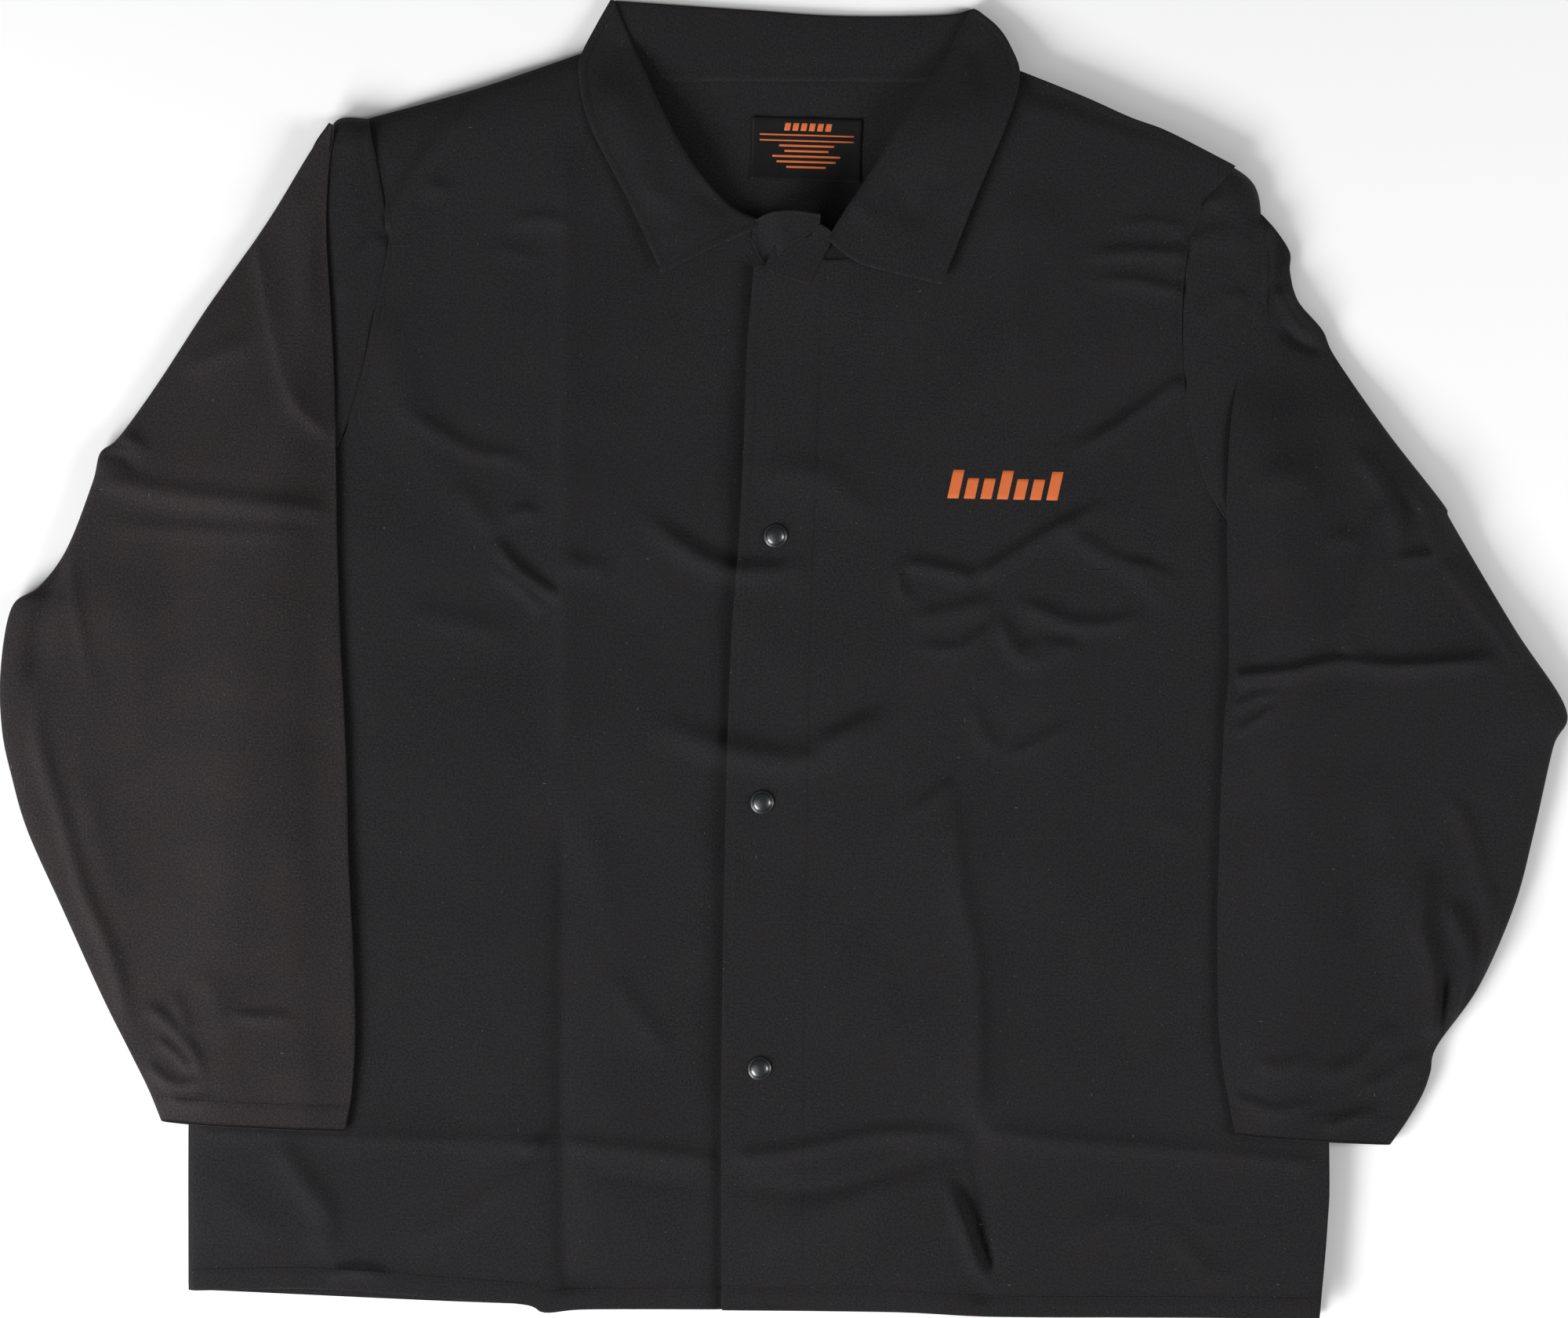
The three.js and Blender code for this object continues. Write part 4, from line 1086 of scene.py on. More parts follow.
# %% Sleeve heads
HEAD_FOLDS = [
    fold([[-248, 262], [-262, 248], [-276, 224]], 2.2, 4, ends=(0.1, 0.2)),
    fold([[256, 208], [270, 222], [288, 224]], 1.8, 4, ends=(0.1, 0.2)),
    fold([[250, 256], [268, 262], [290, 256]], 1.8, 4.5, ends=(0.1, 0.2)),
    fold([[256, 282], [272, 284], [286, 278]], 1.4, 4.5, ends=(0.1, 0.2)),
]
HEAD_ROWS = 70
ARMHOLE = {"right": ARM_RIGHT[2:], "left": ARM_LEFT[2:]}


def sleeve_head(side):
    """The strip from the armhole to the sleeve's fold: straight rows between the two lines, bowed out
    at the shoulder, with a puff of 2.6 sin^1.2 across it and a small ridge along the seam."""
    arm = corner_join(ARMHOLE[side], count=HEAD_ROWS)
    sign = -1 if side == "right" else 1
    inner = curve(SLEEVE_INNER[side], 200)
    inner = resample(inner[inner[:, 1] > arm[0, 1] - 4][::-1], HEAD_ROWS)
    inner[:, 0] += sign * (11 * smooth((inner[-1, 1] - 6 - inner[:, 1]) / 50) + 2)
    share = np.linspace(0, 1, 30)[None, :, None]
    flat = arm[:, None] * (1 - share) + inner[:, None] * share
    across = share[..., 0]
    from_top = np.arange(HEAD_ROWS - 1, -1, -1)[:, None]
    bow = 4.5 * np.sin(math.pi * across) * np.exp(-from_top / 5.0)
    flat = flat + np.dstack([sign * bow, 0.7 * bow])
    puff = 2.6 * np.sin(math.pi * np.clip(across / 0.8, 0, 1)) ** 1.2
    seam_ridge = 0.8 * np.exp(-((across * 34 - 2.5) / 2.0) ** 2)
    z = front_low + 0.2 + puff + total(HEAD_FOLDS, flat) + seam_ridge
    z = np.minimum(z, ramp_to_edge(flat, flat[-1], 3.8, 19, 24))
    grid = np.dstack([flat, z])
    if side == "right":
        grid = grid[:, ::-1]
    head = cloth_shell(f"{side}_sleeve_head_cloth", grid, OUTER_PLY, materials=[cotton])
    dress(head, "body", (f"{side}_sleeve_head",))
    lay_sheet(head, grid, (0.07, 0.24))


for side in ("right", "left"):
    sleeve_head(side)

# %% [markdown]
# ## Collar
# The collar is a stand that rises from the neck seam and a fall that rolls back over it. Behind the
# neck it folds along its top edge and the fall lies underneath. Three flat strips would leave gaps at
# the fold, so one section is carried along the neck: stand, half circle, fall.

# %% Collar behind the neck
NECK_COUNT = 90
COLLAR_TOP = curve([[-106, 407], [-63, 404], [-19, 401], [34, 397.5], [98, 398], [118, 402]], NECK_COUNT)
NECK_SEAM_BACK = curve([[-100, 359], [0, 358.5], [122, 359]], NECK_COUNT)
FALL_EDGE = curve([[-98, 341], [0, 339], [112, 341]], NECK_COUNT)


def back_collar():
    """One strip carried along the neck: up over the stand, round the top fold on a small radius, and
    back underneath. Its section is three runs: stand, half circle, fall."""
    radius = 1.75
    rows = []
    for t in np.linspace(0, 1, 22):
        flat = NECK_SEAM_BACK * (1 - t) + COLLAR_TOP * t
        roll = math.sin(math.pi * t) + 0.8 * math.exp(-((t - 0.06) / 0.05) ** 2)
        rows.append(np.column_stack([flat, 3.5 + 0.5 * t + roll + swell(flat, 70, 31, 0.35)]))
    top_z = rows[-1][:, 2:]
    for angle in np.linspace(0, math.pi, 8)[1:-1]:
        rows.append(np.column_stack([COLLAR_TOP + [0, radius * math.sin(angle)],
                                     top_z - radius * (1 - math.cos(angle))]))
    for t in np.linspace(0, 1, 14):
        flat = COLLAR_TOP * (1 - t) + FALL_EDGE * t
        rows.append(np.column_stack([flat, (top_z[:, 0] - 2 * radius) * (1 - t) + 1.15 * t]))
    grid = np.stack(rows)
    obj = cloth_shell("back_collar_cloth", grid, 1.0, materials=[cotton])
    dress(obj, "body", ("collar_stand_back", "collar_fall_back"))
    lay_sheet(obj, grid, (0.24, 0.12))


back_collar()

# %% [markdown]
# ## Collar leaves
# In front each leaf lies over its stand and the front, rolls down along the roll line and ends in a
# point. A leaf is two plies, so its edge is thick and round, with a topstitch inside it.

# %% Collar leaves
LEAF_COUNT = 110
ROLL = {
    "right": curve([[-105, 408], [-97, 388], [-88, 368], [-73, 335], [-56, 306], [-34, 281], [-10, 270]],
                   LEAF_COUNT),
    "left": curve([[118, 402], [110, 388], [104, 376], [90, 357], [73, 330], [54, 299], [40, 278],
                   [28, 259]], LEAF_COUNT),
}
LEAF_BACK_EDGE = {
    "right": [[-107, 408], [-115, 394], [-125, 374], [-126, 360], [-119, 330], [-96, 285], [-75, 240]],
    "left": [[119, 402], [132, 391], [140, 378], [145, 361], [138, 334], [118, 286], [97, 232]],
}
LEAF_EDGE = {side: resample(curve(points, 40), LEAF_COUNT) for side, points in LEAF_BACK_EDGE.items()}
LEAF_LOW = {"right": 5.4, "left": 5.6}
LEAF_HIGH = {"right": front_low + 3.4, "left": front_high + 2.6}
LEAF_FRONT_BOW = {
    "right": [[-75, 240], [-38, 258], [-10, 270]],
    "left": [[97, 232], [64, 240], [45, 246], [28, 259]],
}
LEAF_PLY = 1.9
LEAF_HEM = (5.0, 0.35, 0.5)
LEAF_BEND = (4, 9)
COLLAR_FOLDS = [
    fold([[-112, 380], [-102, 345], [-84, 300], [-66, 268]], 1.5, 13, ends=(0.3, 0.3)),
    fold([[-96, 392], [-106, 370], [-112, 345]], -1.2, 7, ends=(0.3, 0.4)),
    fold([[-92, 300], [-76, 285], [-58, 282]], 0.8, 6, ends=(0.4, 0.4)),
    fold([[130, 378], [124, 345], [112, 300], [98, 262]], 1.3, 13, ends=(0.3, 0.3)),
    fold([[116, 388], [122, 366], [118, 340]], -1.2, 7, ends=(0.3, 0.4)),
    fold([[70, 262], [86, 280], [98, 310]], -0.9, 9, ends=(0.4, 0.4)),
    fold([[-60, 296], [-42, 284], [-24, 277]], -1.0, 6, ends=(0.4, 0.4)),
    fold([[-78, 330], [-62, 306], [-50, 284]], 0.9, 8, ends=(0.4, 0.4)),
    fold([[64, 302], [74, 284], [82, 262]], -1.0, 8, ends=(0.4, 0.4)),
    fold([[36, 290], [50, 276], [66, 268]], 0.8, 6, ends=(0.4, 0.4)),
    fold([[102, 345], [88, 318], [72, 300]], 0.8, 9, ends=(0.4, 0.4)),
]
print("folds in the collar:", len(COLLAR_FOLDS))


def leaf_height(side, xy):
    """High over the front and down to the back collar, less a quarter circle of 4 mm along the roll
    line and a slump of 2.6 exp(-(d / 15)^2) beside it."""
    low, high = LEAF_LOW[side], LEAF_HIGH[side]
    base = low + (high - low) * smooth((402 - xy[..., 1]) / 78)
    _, off = along_and_off(xy, ROLL[side])
    d = np.abs(off)
    roll = 1.3 * (1 - np.sqrt(1 - (1 - np.clip(d / 4.0, 0, 1)) ** 2))
    slump = 2.6 * np.exp(-(d / 15) ** 2) * smooth((400 - xy[..., 1]) / 60)
    return base - roll - slump + 0.9 + total(COLLAR_FOLDS, xy) + swell(xy, 60, 41, 0.5)


def leaf_edges(side):
    """The leaf's three free edges as one line, for the topstitch."""
    front = curve(LEAF_FRONT_BOW[side], 40)
    return np.vstack([LEAF_EDGE[side], front[1:]])


def collar_leaf(side):
    """A Coons patch between the roll line, the leaf's edge and its two ends, as a two-ply shell."""
    front = curve(LEAF_FRONT_BOW[side], 60)[::-1]
    back = polyline([ROLL[side][0], LEAF_EDGE[side][0]], 60)
    if side == "right":
        flat = coons(LEAF_EDGE[side], ROLL[side], back[::-1], front[::-1])
    else:
        flat = coons(ROLL[side][::-1], LEAF_EDGE[side][::-1], front, back)[::-1, ::-1]
    edges = leaf_edges(side)
    grid = np.dstack([flat, leaf_height(side, flat) + turned_edge(flat, edges, *LEAF_HEM)])
    obj = cloth_shell(f"{side}_collar_leaf_cloth", grid, LEAF_PLY, materials=[cotton], rim=4)
    dress(obj, None, (f"{side}_top_collar", f"{side}_under_collar"))
    hinge = f"{side}_collar_roll"
    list(across_joint(hinge, *LEAF_BEND))
    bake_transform(obj)
    lay_sheet(obj, grid, (0.08, 0.2))


for side in ("right", "left"):
    collar_leaf(side)

# %% [markdown]
# ## Stand under each leaf
# Under a leaf a single ply rises from the neck seam to the roll line. It is hardly seen, but without
# it the leaf would float and daylight would show below it. It takes the lower of two heights: just
# under the leaf, and a little over the front.

# %% Stand under each leaf
SEAM = {"right": curve(NECK_RIGHT[:-1], 60), "left": curve(NECK_LEFT[::-1][:-1], 60)}


def collar_stand(side):
    """Straight rows from the roll line to the neck seam, at the lower of the two heights."""
    roll = resample(beside(ROLL[side], -1.2 if side == "left" else 1.2)[4:], 60)
    seam = SEAM[side]
    share = np.linspace(0, 1, 12)[:, None, None]
    flat = roll[None] * (1 - share) + seam[None] * share
    front = right_front_height if side == "right" else left_front_height
    under_leaf = leaf_height(side, flat) - LEAF_PLY - 1.0
    z = np.minimum(under_leaf, front(flat) + 1.1 + 3 * (1 - share[..., 0]))
    grid = np.dstack([flat, z])
    if side == "right":
        grid = grid[::-1]
    obj = cloth_shell(f"{side}_collar_stand_cloth", grid, OUTER_PLY, materials=[inner_cotton])
    dress(obj, "body", (f"{side}_collar_stand",))
    lay_sheet(obj, grid, (0.04, 0.19))


for side in ("right", "left"):
    collar_stand(side)

# %% [markdown]
# ## Throat latch
# Two small tabs close the neck, one from below each collar end. The strap laps over the tab and is
# held by hook-and-loop tape between them. Each is two plies with a stitched edge, made like a
# collar leaf but from straight rows, since it is too small to swell.

# %% Throat latch
STRAP_TOP = curve([[-18, 271], [-8, 275], [6, 276], [22, 274]], 44)
STRAP_LOW = curve([[-19, 258], [-14, 248], [-9, 244], [-6, 247], [-2, 252], [4, 257], [12, 261],
                   [21, 267]], 44)
TAB_TOP = curve([[0, 269], [12, 270.5], [22, 268], [31, 262]], 40)
TAB_LOW = curve([[-11, 243], [-8, 240], [3, 236], [15, 232]], 40)
STRAP_Z = node_box("throat_strap")[1][2]
TAB_Z = node_box("throat_tab")[1][2]
STRAP_BEND = (4, 4)
PAD_CENTRE = (9, 264)
PAD_HALF = (6, 3.6)


def small_tab(name, low, top, height, ply, node):
    """Straight rows from one long edge to the other, at the given height, with a stitched edge."""
    edges = np.vstack([top, low[::-1]])
    share = np.linspace(0, 1, 34)[:, None, None]
    flat = low[None] * (1 - share) + top[None] * share
    grid = np.dstack([flat, height(flat) + turned_edge(flat, edges, 3.0, 0.25, 0.35)])
    obj = cloth_shell(name, grid, ply, materials=[cotton], rim=4)
    dress(obj, None, (node,))
    lay_sheet(obj, grid, (0.04, 0.035))
    return obj


def strap_height(xy):
    """Sewn down on the right front at its root, then up over the tab, with a fold across the root."""
    x, y = xy[..., 0], xy[..., 1]
    rise = smooth((x + 17 + 0.25 * (y - 262)) / 17)
    root = front_low + 0.7
    return root + (STRAP_Z - root) * rise + 0.3 * np.exp(-((x + y - 262) / 4.5) ** 2) * rise


def tab_height(xy):
    """Level under the strap, with a slow wave of half a millimetre."""
    return TAB_Z - 0.2 + 0.5 * np.sin(xy[..., 1] / 6.0)


strap = small_tab("throat_strap_cloth", STRAP_LOW, STRAP_TOP, strap_height, 1.5, "throat_strap")
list(across_joint("throat_latch_peel", *STRAP_BEND))
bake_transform(strap)
tab = small_tab("throat_tab_cloth", TAB_LOW, TAB_TOP, tab_height, 1.4, "throat_tab")
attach(tab, "body")


def tape_pad(name, node, body):
    """One small patch of tape between the tab and the strap, at its CAD height."""
    low, high = node_box(node)
    u, v = np.meshgrid(np.linspace(-1, 1, 10) * PAD_HALF[0], np.linspace(-1, 1, 8) * PAD_HALF[1])
    grid = np.dstack([PAD_CENTRE[0] + u, PAD_CENTRE[1] + v, np.full(u.shape, high[2])])
    pad = cloth_shell(name, grid, (high - low)[2], materials=[tape], rim=2)
    dress(pad, body, (node,))


tape_pad("loop_pad", "loop_patch", "body")
tape_pad("hook_pad", "hook_patch", "throat_latch")
print("strap at", round(STRAP_Z, 1), "mm, tab at", round(TAB_Z, 1), "mm")

# %% [markdown]
# ## Snaps
# The caps are pressed domes with a rolled rim. A profile of twenty points is spun about the cap's
# axis, which is how a lathe or a screw modifier would make it too. The sockets, studs and rivets
# behind the caps are hardly seen, so they keep their CAD shape and get plated steel.

# %% Snap caps
CAP_SEGMENTS = 56
POLE = 0.02
RIM_TOP = 1.5
DOME_RISE = 2.3


def spun(profile, segments):
    """Rings of a profile of [radius, height] points turned about Z, as rows of points."""
    angle = np.linspace(0, 2 * math.pi, segments, endpoint=False)
    r, z = np.array(profile, float).T
    heights = np.broadcast_to(z[:, None], (len(r), segments))
    return np.dstack([r[:, None] * np.cos(angle), r[:, None] * np.sin(angle), heights])


def close_poles(obj):
    """Merges the tiny rings at a spun shape's poles and recalculates its outward normals."""
    work = bmesh.new()
    work.from_mesh(obj.data)
    bmesh.ops.remove_doubles(work, verts=work.verts, dist=0.00006)
    bmesh.ops.recalc_face_normals(work, faces=work.faces)
    work.to_mesh(obj.data)
    work.free()


def cap_profile(radius):
    """From the middle of the back out round the rolled rim, over a small groove, and up an elliptic
    dome to its top, as [radius, height]."""
    rim = [[POLE, 0], [radius - 0.5, 0], [radius, 0.35], [radius + 0.05, 0.8], [radius - 0.25, 1.25],
           [radius - 0.7, 1.45], [radius - 1.05, 1.42], [radius - 1.35, RIM_TOP]]
    angle = np.linspace(0.12, 1, 12) * math.pi / 2
    dome = np.column_stack([(radius - 1.35) * np.cos(angle), RIM_TOP + DOME_RISE * np.sin(angle)])
    dome[-1, 0] = POLE
    return np.vstack([rim, dome])


def snap_cap(name, node):
    """The profile spun about the CAD cap's own axis and set on the left front."""
    low, high = node_box(node)
    centre = (low + high) / 2
    profile = cap_profile((high - low)[0] / 2)
    rings = spun(profile, CAP_SEGMENTS) + [centre[0], centre[1], front_high + 0.1]
    points = rings.reshape(-1, 3)
    faces = quads(len(profile), CAP_SEGMENTS, around=True)
    cap = make_mesh(name, points, faces, points[:, :2] * MM, [enamel])
    close_poles(cap)
    dress(cap, "left_front_flap", (node,))
    print(name, "at", centre[:2].round(1))


for name in ("top", "middle", "bottom"):
    snap_cap(f"{name}_cap_shell", f"{name}_snap_cap")
    for part in ("socket", "stud", "rivet"):
        node = frame["nodes"][f"{name}_snap_{part}"]
        node.data.materials.clear()
        node.data.materials.append(steel)

# %% [markdown]
# ## Label
# The neck label is a woven strip sewn into the neck, with plain orange bars and rules. It lies on the
# back panel and its long edges curl up a little, so its points come from the back's own height. A bar
# is the same kind of patch over a small part of the label.

# %% Label
LABEL_LOW, LABEL_HIGH = node_box("neck_label")
LABEL_CENTRE = ((LABEL_LOW + LABEL_HIGH) / 2)[:2]
LABEL_HALF = (34, 19.5)
LABEL_TURN = -0.03
PRINT = {"lift": 0.10, "thick": 0.12, "material": orange}


def label_place(u, v, lift):
    """A point of the label from u and v, -1 to 1 across and up, turned with the label. Its long edges
    curl up by 0.5 v^2 mm, and a slow wave of 0.25 mm runs along it."""
    c, s = math.cos(LABEL_TURN), math.sin(LABEL_TURN)
    x, y = u * LABEL_HALF[0], v * LABEL_HALF[1]
    flat = np.dstack([LABEL_CENTRE[0] + c * x - s * y, LABEL_CENTRE[1] + s * x + c * y])
    z = back_height(flat) + 0.65 + lift + 0.5 * v ** 2 + 0.25 * np.sin(u * 5 + 1)
    return np.dstack([flat, z])


def patch(name, u0, u1, v0, v1, lift, thick, material, slant=0.0, place=label_place, n=12):
    """A thin patch over part of a surface, u and v running between the given limits; slant shears it."""
    v = np.linspace(v0, v1, max(4, n // 2))[:, None]
    u = np.linspace(u0, u1, n)[None, :] + slant * (v - v0)
    grid = place(u, np.broadcast_to(v, u.shape), lift)
    obj = cloth_shell(name, grid, thick, materials=[material], rim=1)
    return dress(obj, "body")


label = patch("neck_label_cloth", -1, 1, -1, 1, 0.0, 0.5, satin, n=40)
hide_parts("neck_label")
for v in (0.28, 0.46):
    patch(f"label_rule_{v}", -0.86, 0.86, v - 0.02, v + 0.02, **PRINT)
for k in range(6):
    start = -0.42 + 0.15 * k
    patch(f"label_bar_{k}", start, start + 0.10, 0.60, 0.84, slant=0.10, **PRINT)
for row, half in enumerate((0.50, 0.40, 0.62, 0.54, 0.36)):
    v = 0.12 - 0.17 * row
    patch(f"label_line_{row}", -half, half, v - 0.03, v + 0.03, **PRINT)
print("label centre at", LABEL_CENTRE.round(1))

# %% [markdown]
# ## Chest mark
# The mark is a row of seven plain slanted bars printed on the cloth. Ink has almost no thickness, so
# it could be a colour in the cloth's own finish. A thin patch for each bar is simpler to place: it
# takes the front's height and so follows every fold below it.

# %% Chest mark
CHEST_CORNER = (99, 99.5)
BARS = 7
BAR_STEP = 10.2
BAR_WIDTH = 6.6
TALL_BAR = 17.5
SHORT_BAR = 12.5


def chest_place(u, v, lift):
    """A point of the chest mark in millimetres from its lower left corner, on the left front."""
    flat = np.dstack([CHEST_CORNER[0] + u, CHEST_CORNER[1] + v - 0.02 * u])
    return np.dstack([flat, left_front_height(flat) + lift])


for k in range(BARS):
    start = 2 + BAR_STEP * k
    tall = TALL_BAR if k % 3 == 0 else SHORT_BAR
    patch(f"chest_bar_{k}", start, start + BAR_WIDTH, 0, tall, 0.16, 0.3, orange, slant=0.22,
          place=chest_place, n=14)
print("chest mark:", BARS, "bars")

# %% [markdown]
# ## Stitching
# One stitch is a short capsule of twenty-two faces. A row of them is laid along a line on the cloth:
# each follows the line's own direction, sits a little proud, and leaves a gap before the next. Their
# places are worked out together as arrays, so a row of two hundred is one mesh.

# %% A row of stitches
def stitch_row(name, line, height, pitch=3.0, length=2.1, radius=0.24, proud=0.12):
    """Capsules along a line: six-sided rings at four stations, turned to the line's direction and
    raised to height(line) + proud. Both ends are closed with two quads."""
    count = max(3, int(np.hypot(*np.diff(line, axis=0).T).sum() / pitch))
    flat = resample(np.asarray(line, float), count)
    centre = np.column_stack([flat, height(flat) + proud])
    ahead = np.gradient(centre, axis=0)
    ahead /= np.linalg.norm(ahead, axis=1, keepdims=True)
    side = np.cross([0, 0, 1.0], ahead)
    side /= np.linalg.norm(side, axis=1, keepdims=True)
    up = np.cross(ahead, side)
    stations = np.array([[-0.5, 0.45], [-0.32, 1.0], [0.32, 1.0], [0.5, 0.45]])
    angle = np.arange(6) * math.pi / 3
    along = np.repeat(stations[:, 0] * length, 6)
    across = np.outer(stations[:, 1], np.cos(angle)).ravel() * radius
    lift = np.outer(stations[:, 1], np.sin(angle)).ravel() * radius
    points = (centre[:, None] + ahead[:, None] * along[:, None] + side[:, None] * across[:, None]
              + up[:, None] * lift[:, None]).reshape(-1, 3)
    one = np.concatenate([quads(4, 6, around=True, flip=True), [[0, 1, 2, 3], [0, 3, 4, 5]],
                          [[21, 20, 19, 18], [23, 22, 21, 18]]])
    faces = (one[None] + 24 * np.arange(count)[:, None, None]).reshape(-1, 4)
    print(name, count, "stitches")
    return make_mesh(name, points, faces, points[:, :2] * MM, [thread])


HINGE_REACH = {"left_front_opening": FRONT_BEND, "right_front_opening": FRONT_BEND,
               "left_collar_roll": LEAF_BEND, "right_collar_roll": LEAF_BEND}


def sew(name, line, height, body, hinge=None, **how):
    """A row that rides on one body, or, when a hinge is given, is baked where it lies and rides on none."""
    row = stitch_row(name, line, height, **how)
    if hinge:
        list(across_joint(hinge, *HINGE_REACH[hinge]))
        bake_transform(row)
    else:
        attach(row, body)


def trimmed(line, start, end):
    """The part of a line between two shares of its length."""
    count = len(line)
    return line[int(start * (count - 1)):int(end * (count - 1)) + 1]


# %% [markdown]
# ## Stitches on the fronts
# The rows show how the fronts are sewn: a hem at the bottom, an edge row and a facing row along the
# placket, and the pocket's outline with a bartack at each end of its mouth. Each row asks the sewn
# cloth's own height, turned edges included, so no stitch floats.

# %% Stitches on the fronts
HEM_INSET = 12.2


def right_cloth_height(xy):
    """The right front's surface, with its turned hem."""
    return right_front_height(xy) + turned_edge(xy, HEM_RIGHT)


def left_cloth_height(xy):
    """The left front's surface, with its turned hem and placket edge."""
    edges = turned_edge(xy, HEM_LEFT) + turned_edge(xy, PLACKET_LINE, *PLACKET_HEM)
    return left_front_height(xy) + edges


def sew_left_front(name, line, **how):
    """A row on the left front, following its surface."""
    sew(name, line, left_cloth_height, "left_front_flap", "left_front_opening", **how)


sew("right_hem_stitches", trimmed(beside(HEM_RIGHT, -HEM_INSET), 0.01, 0.985), right_cloth_height,
    "right_front_flap", "right_front_opening")
sew_left_front("left_hem_stitches", trimmed(beside(HEM_LEFT, -HEM_INSET), 0.02, 0.99))
sew_left_front("placket_edge_stitches", trimmed(beside(PLACKET_LINE, 4.8), 0.03, 0.985))
FACING_LINE = curve([[23, 232], [21, 165], [15, -29], [12, -250], [11, -386]], 200)
sew_left_front("facing_stitches", FACING_LINE)
POCKET_OUTLINE = np.vstack([polyline([[72, 50], [72, -92]], 40),
                            curve([[72, -94], [78, -108], [94, -112]], 12),
                            polyline([[96, -112], [172, -111]], 30),
                            curve([[174, -111], [188, -106], [193, -90]], 12),
                            polyline([[193, -88], [195, 52]], 40)])
sew_left_front("pocket_stitches", POCKET_OUTLINE, proud=-0.12)
for k, (x, y) in enumerate(((74, 52), (197, 55))):
    tack = polyline([[x - 3.5, y], [x + 3.5, y]], 8)
    sew(f"pocket_bartack_{k}", tack, left_cloth_height, "body", pitch=0.8, length=1.0, radius=0.4)

# %% [markdown]
# ## Stitches on the collar, sleeves and seams
# Each leaf has a topstitch inside its free edges, and the armholes, shoulders and neck have one beside
# their seam. A cuff's row lies on a tube, which has no height formula of its own, so its height is
# read off the sleeve's grid.

# %% Stitches on the collar, sleeves and seams
for side in ("right", "left"):
    inset = beside(leaf_edges(side), -4.2 if side == "right" else 4.2)
    corner = np.hypot(*(leaf_edges(side)[:, None] - inset[None]).transpose(2, 0, 1)).min(0) > 4.0
    sew(f"{side}_collar_stitches", trimmed(inset[corner], 0.04, 0.97),
        lambda xy: leaf_height(side, xy) + turned_edge(xy, leaf_edges(side), *LEAF_HEM),
        f"{side}_collar_leaf", f"{side}_collar_roll")
    arm = corner_join(ARMHOLE[side], count=120)
    front = right_front_height if side == "right" else left_front_height
    seam = beside(arm, 3.2 if side == "right" else -3.2)
    sew(f"{side}_armhole_stitches", trimmed(seam, 0.02, 0.93), front, "body", proud=0.06)
    shoulder = curve(SHOULDER_RIGHT if side == "right" else SHOULDER_LEFT, 60)
    seam = trimmed(beside(shoulder, 4.0), 0.05, 0.95)
    sew(f"{side}_shoulder_stitches", seam, front, "body", proud=0.06)
NECK_ROW = beside(curve([[-80, 361], [0, 360], [98, 361]], 60), 2.4)
sew("neck_stitches", NECK_ROW, back_height, "body", proud=0.15)


def cuff_stitches(side):
    """A row on the sleeve's upper ply, read off the tube's own grid just inside the turned cuff."""
    grid = sleeve_grid(side)
    upper = grid[:, 6:AROUND // 2 - 5]
    row = np.argmin(np.abs(upper[:, 40, 1] - (upper[-1, 40, 1] + CUFF_DEPTH - 1)))
    line = upper[row]
    ordered = line[np.argsort(line[:, 0])]
    sew(f"{side}_cuff_stitches", line[:, :2],
        lambda xy: np.interp(xy[:, 0], ordered[:, 0], ordered[:, 2]), f"{side}_sleeve")


for side in ("right", "left"):
    cuff_stitches(side)

# %% [markdown]
# ## Floor and sky
# A pale floor lies a little below the jacket. The view is straight down, so a plane is enough and no
# curved backdrop is needed. A faint white sky keeps the deepest shadows from going quite black.

# %% Floor and sky
FLOOR_HALF = 30
FLOOR_Z = -0.0006
scene = bpy.context.scene
floor_mesh = bpy.data.meshes.new("floor")
corners = [(x * FLOOR_HALF, y * FLOOR_HALF, FLOOR_Z) for x, y in ((-1, -1), (1, -1), (1, 1), (-1, 1))]
floor_mesh.from_pydata(corners, [], [(0, 1, 2, 3)])
floor = bpy.data.objects.new("floor", floor_mesh)
scene.collection.objects.link(floor)
paper = Finish("pale_floor", Roughness=0.9, Base_Color=(0.93, 0.93, 0.93, 1))
floor_mesh.materials.append(paper.material)

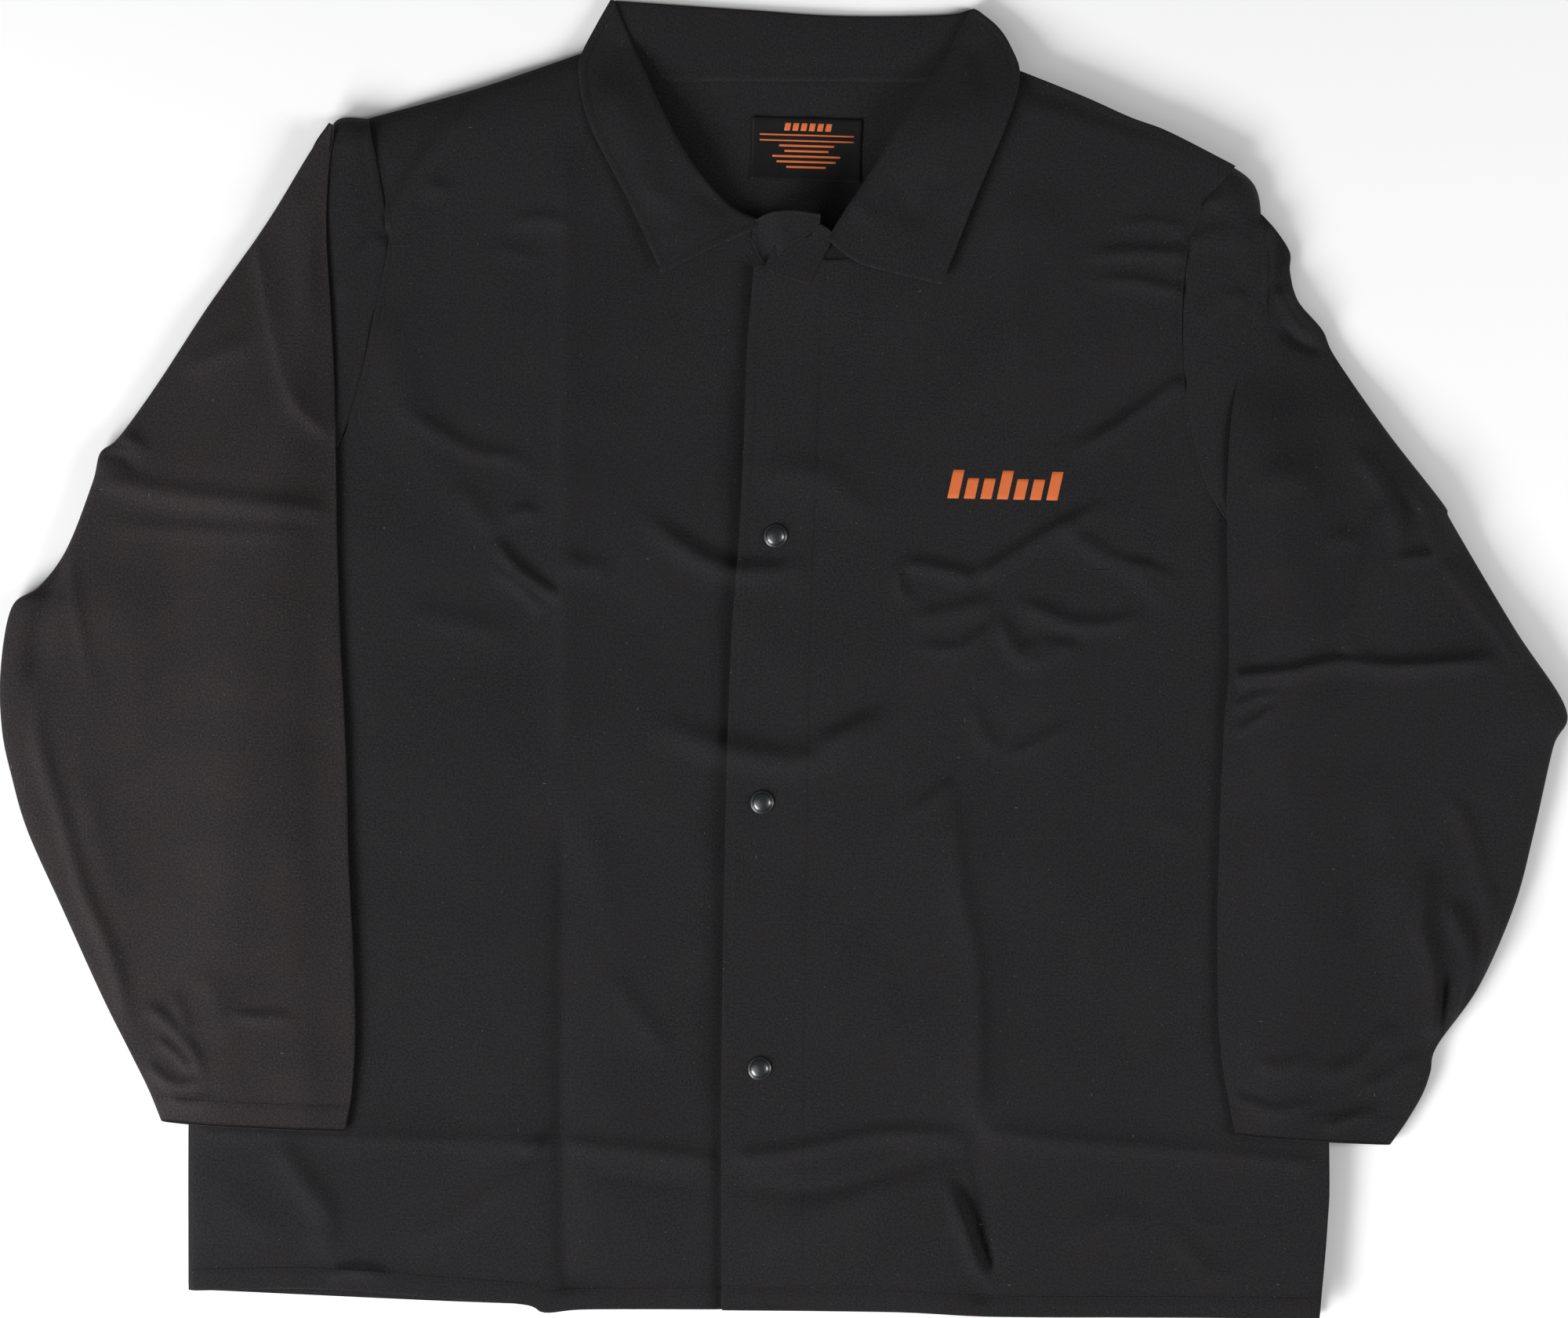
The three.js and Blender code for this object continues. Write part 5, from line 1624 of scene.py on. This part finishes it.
world = bpy.data.worlds.new("studio")
scene.world = world
world.use_nodes = True
background = world.node_tree.nodes["Background"]
background.inputs["Color"].default_value = (1, 1, 1, 1)
background.inputs["Strength"].default_value = 0.13
scene.view_settings.view_transform = "Standard"
print("floor at", FLOOR_Z / MM, "mm")

# %% [markdown]
# ## Lights
# Low light is what shows the folds of black cloth. A sun would draw hard shadows, so every light is a
# wide rectangle: a strong one low on the near left, and a weaker one on the right. Two more, wide and
# faint, fill the neck and draw a soft shine on the caps.

# %% Lights
def softbox(name, place, aim, size, power):
    """A rectangular area light at place, turned towards aim, both in metres."""
    lamp = bpy.data.lights.new(name, "AREA")
    lamp.shape = "RECTANGLE"
    lamp.size, lamp.size_y = size
    lamp.energy = power
    obj = bpy.data.objects.new(name, lamp)
    obj.location = place
    obj.rotation_euler = (Vector(aim) - Vector(place)).to_track_quat("-Z", "Y").to_euler()
    scene.collection.objects.link(obj)


softbox("lower_left", (-1.85, -1.7, 1.55), (-0.1, 0.05, 0), (1.5, 1.2), 108)
softbox("left_wall", (-2.6, -0.9, 2.3), (0, 0, 0), (2.2, 2.2), 9)
softbox("ceiling", (-1.25, -0.7, 2.8), (0, 0, 0), (1.9, 1.9), 9)
softbox("right", (2.5, -0.3, 1.7), (0.1, 0, 0), (0.9, 1.3), 49)
print("lights:", [lamp.name for lamp in bpy.data.lights])

# %% [markdown]
# ## Camera
# The camera stands four metres up, so that the jacket's raised parts are hardly drawn larger than
# its flat ones. Its lens follows from that height and the width of floor that fills the view.

# %% Camera
camera_data = bpy.data.cameras.new("camera")
camera = bpy.data.objects.new("camera", camera_data)
scene.collection.objects.link(camera)
scene.camera = camera
CAMERA_HEIGHT = 4.0
VIEW_WIDTH = 0.974
SENSOR = 36
camera_data.sensor_width = SENSOR
camera_data.lens = SENSOR * CAMERA_HEIGHT / VIEW_WIDTH
camera_data.clip_end = 100
camera.location = (0, 0, CAMERA_HEIGHT)

print("lens:", round(camera_data.lens, 1), "mm, pieces:", len(bpy.data.meshes))
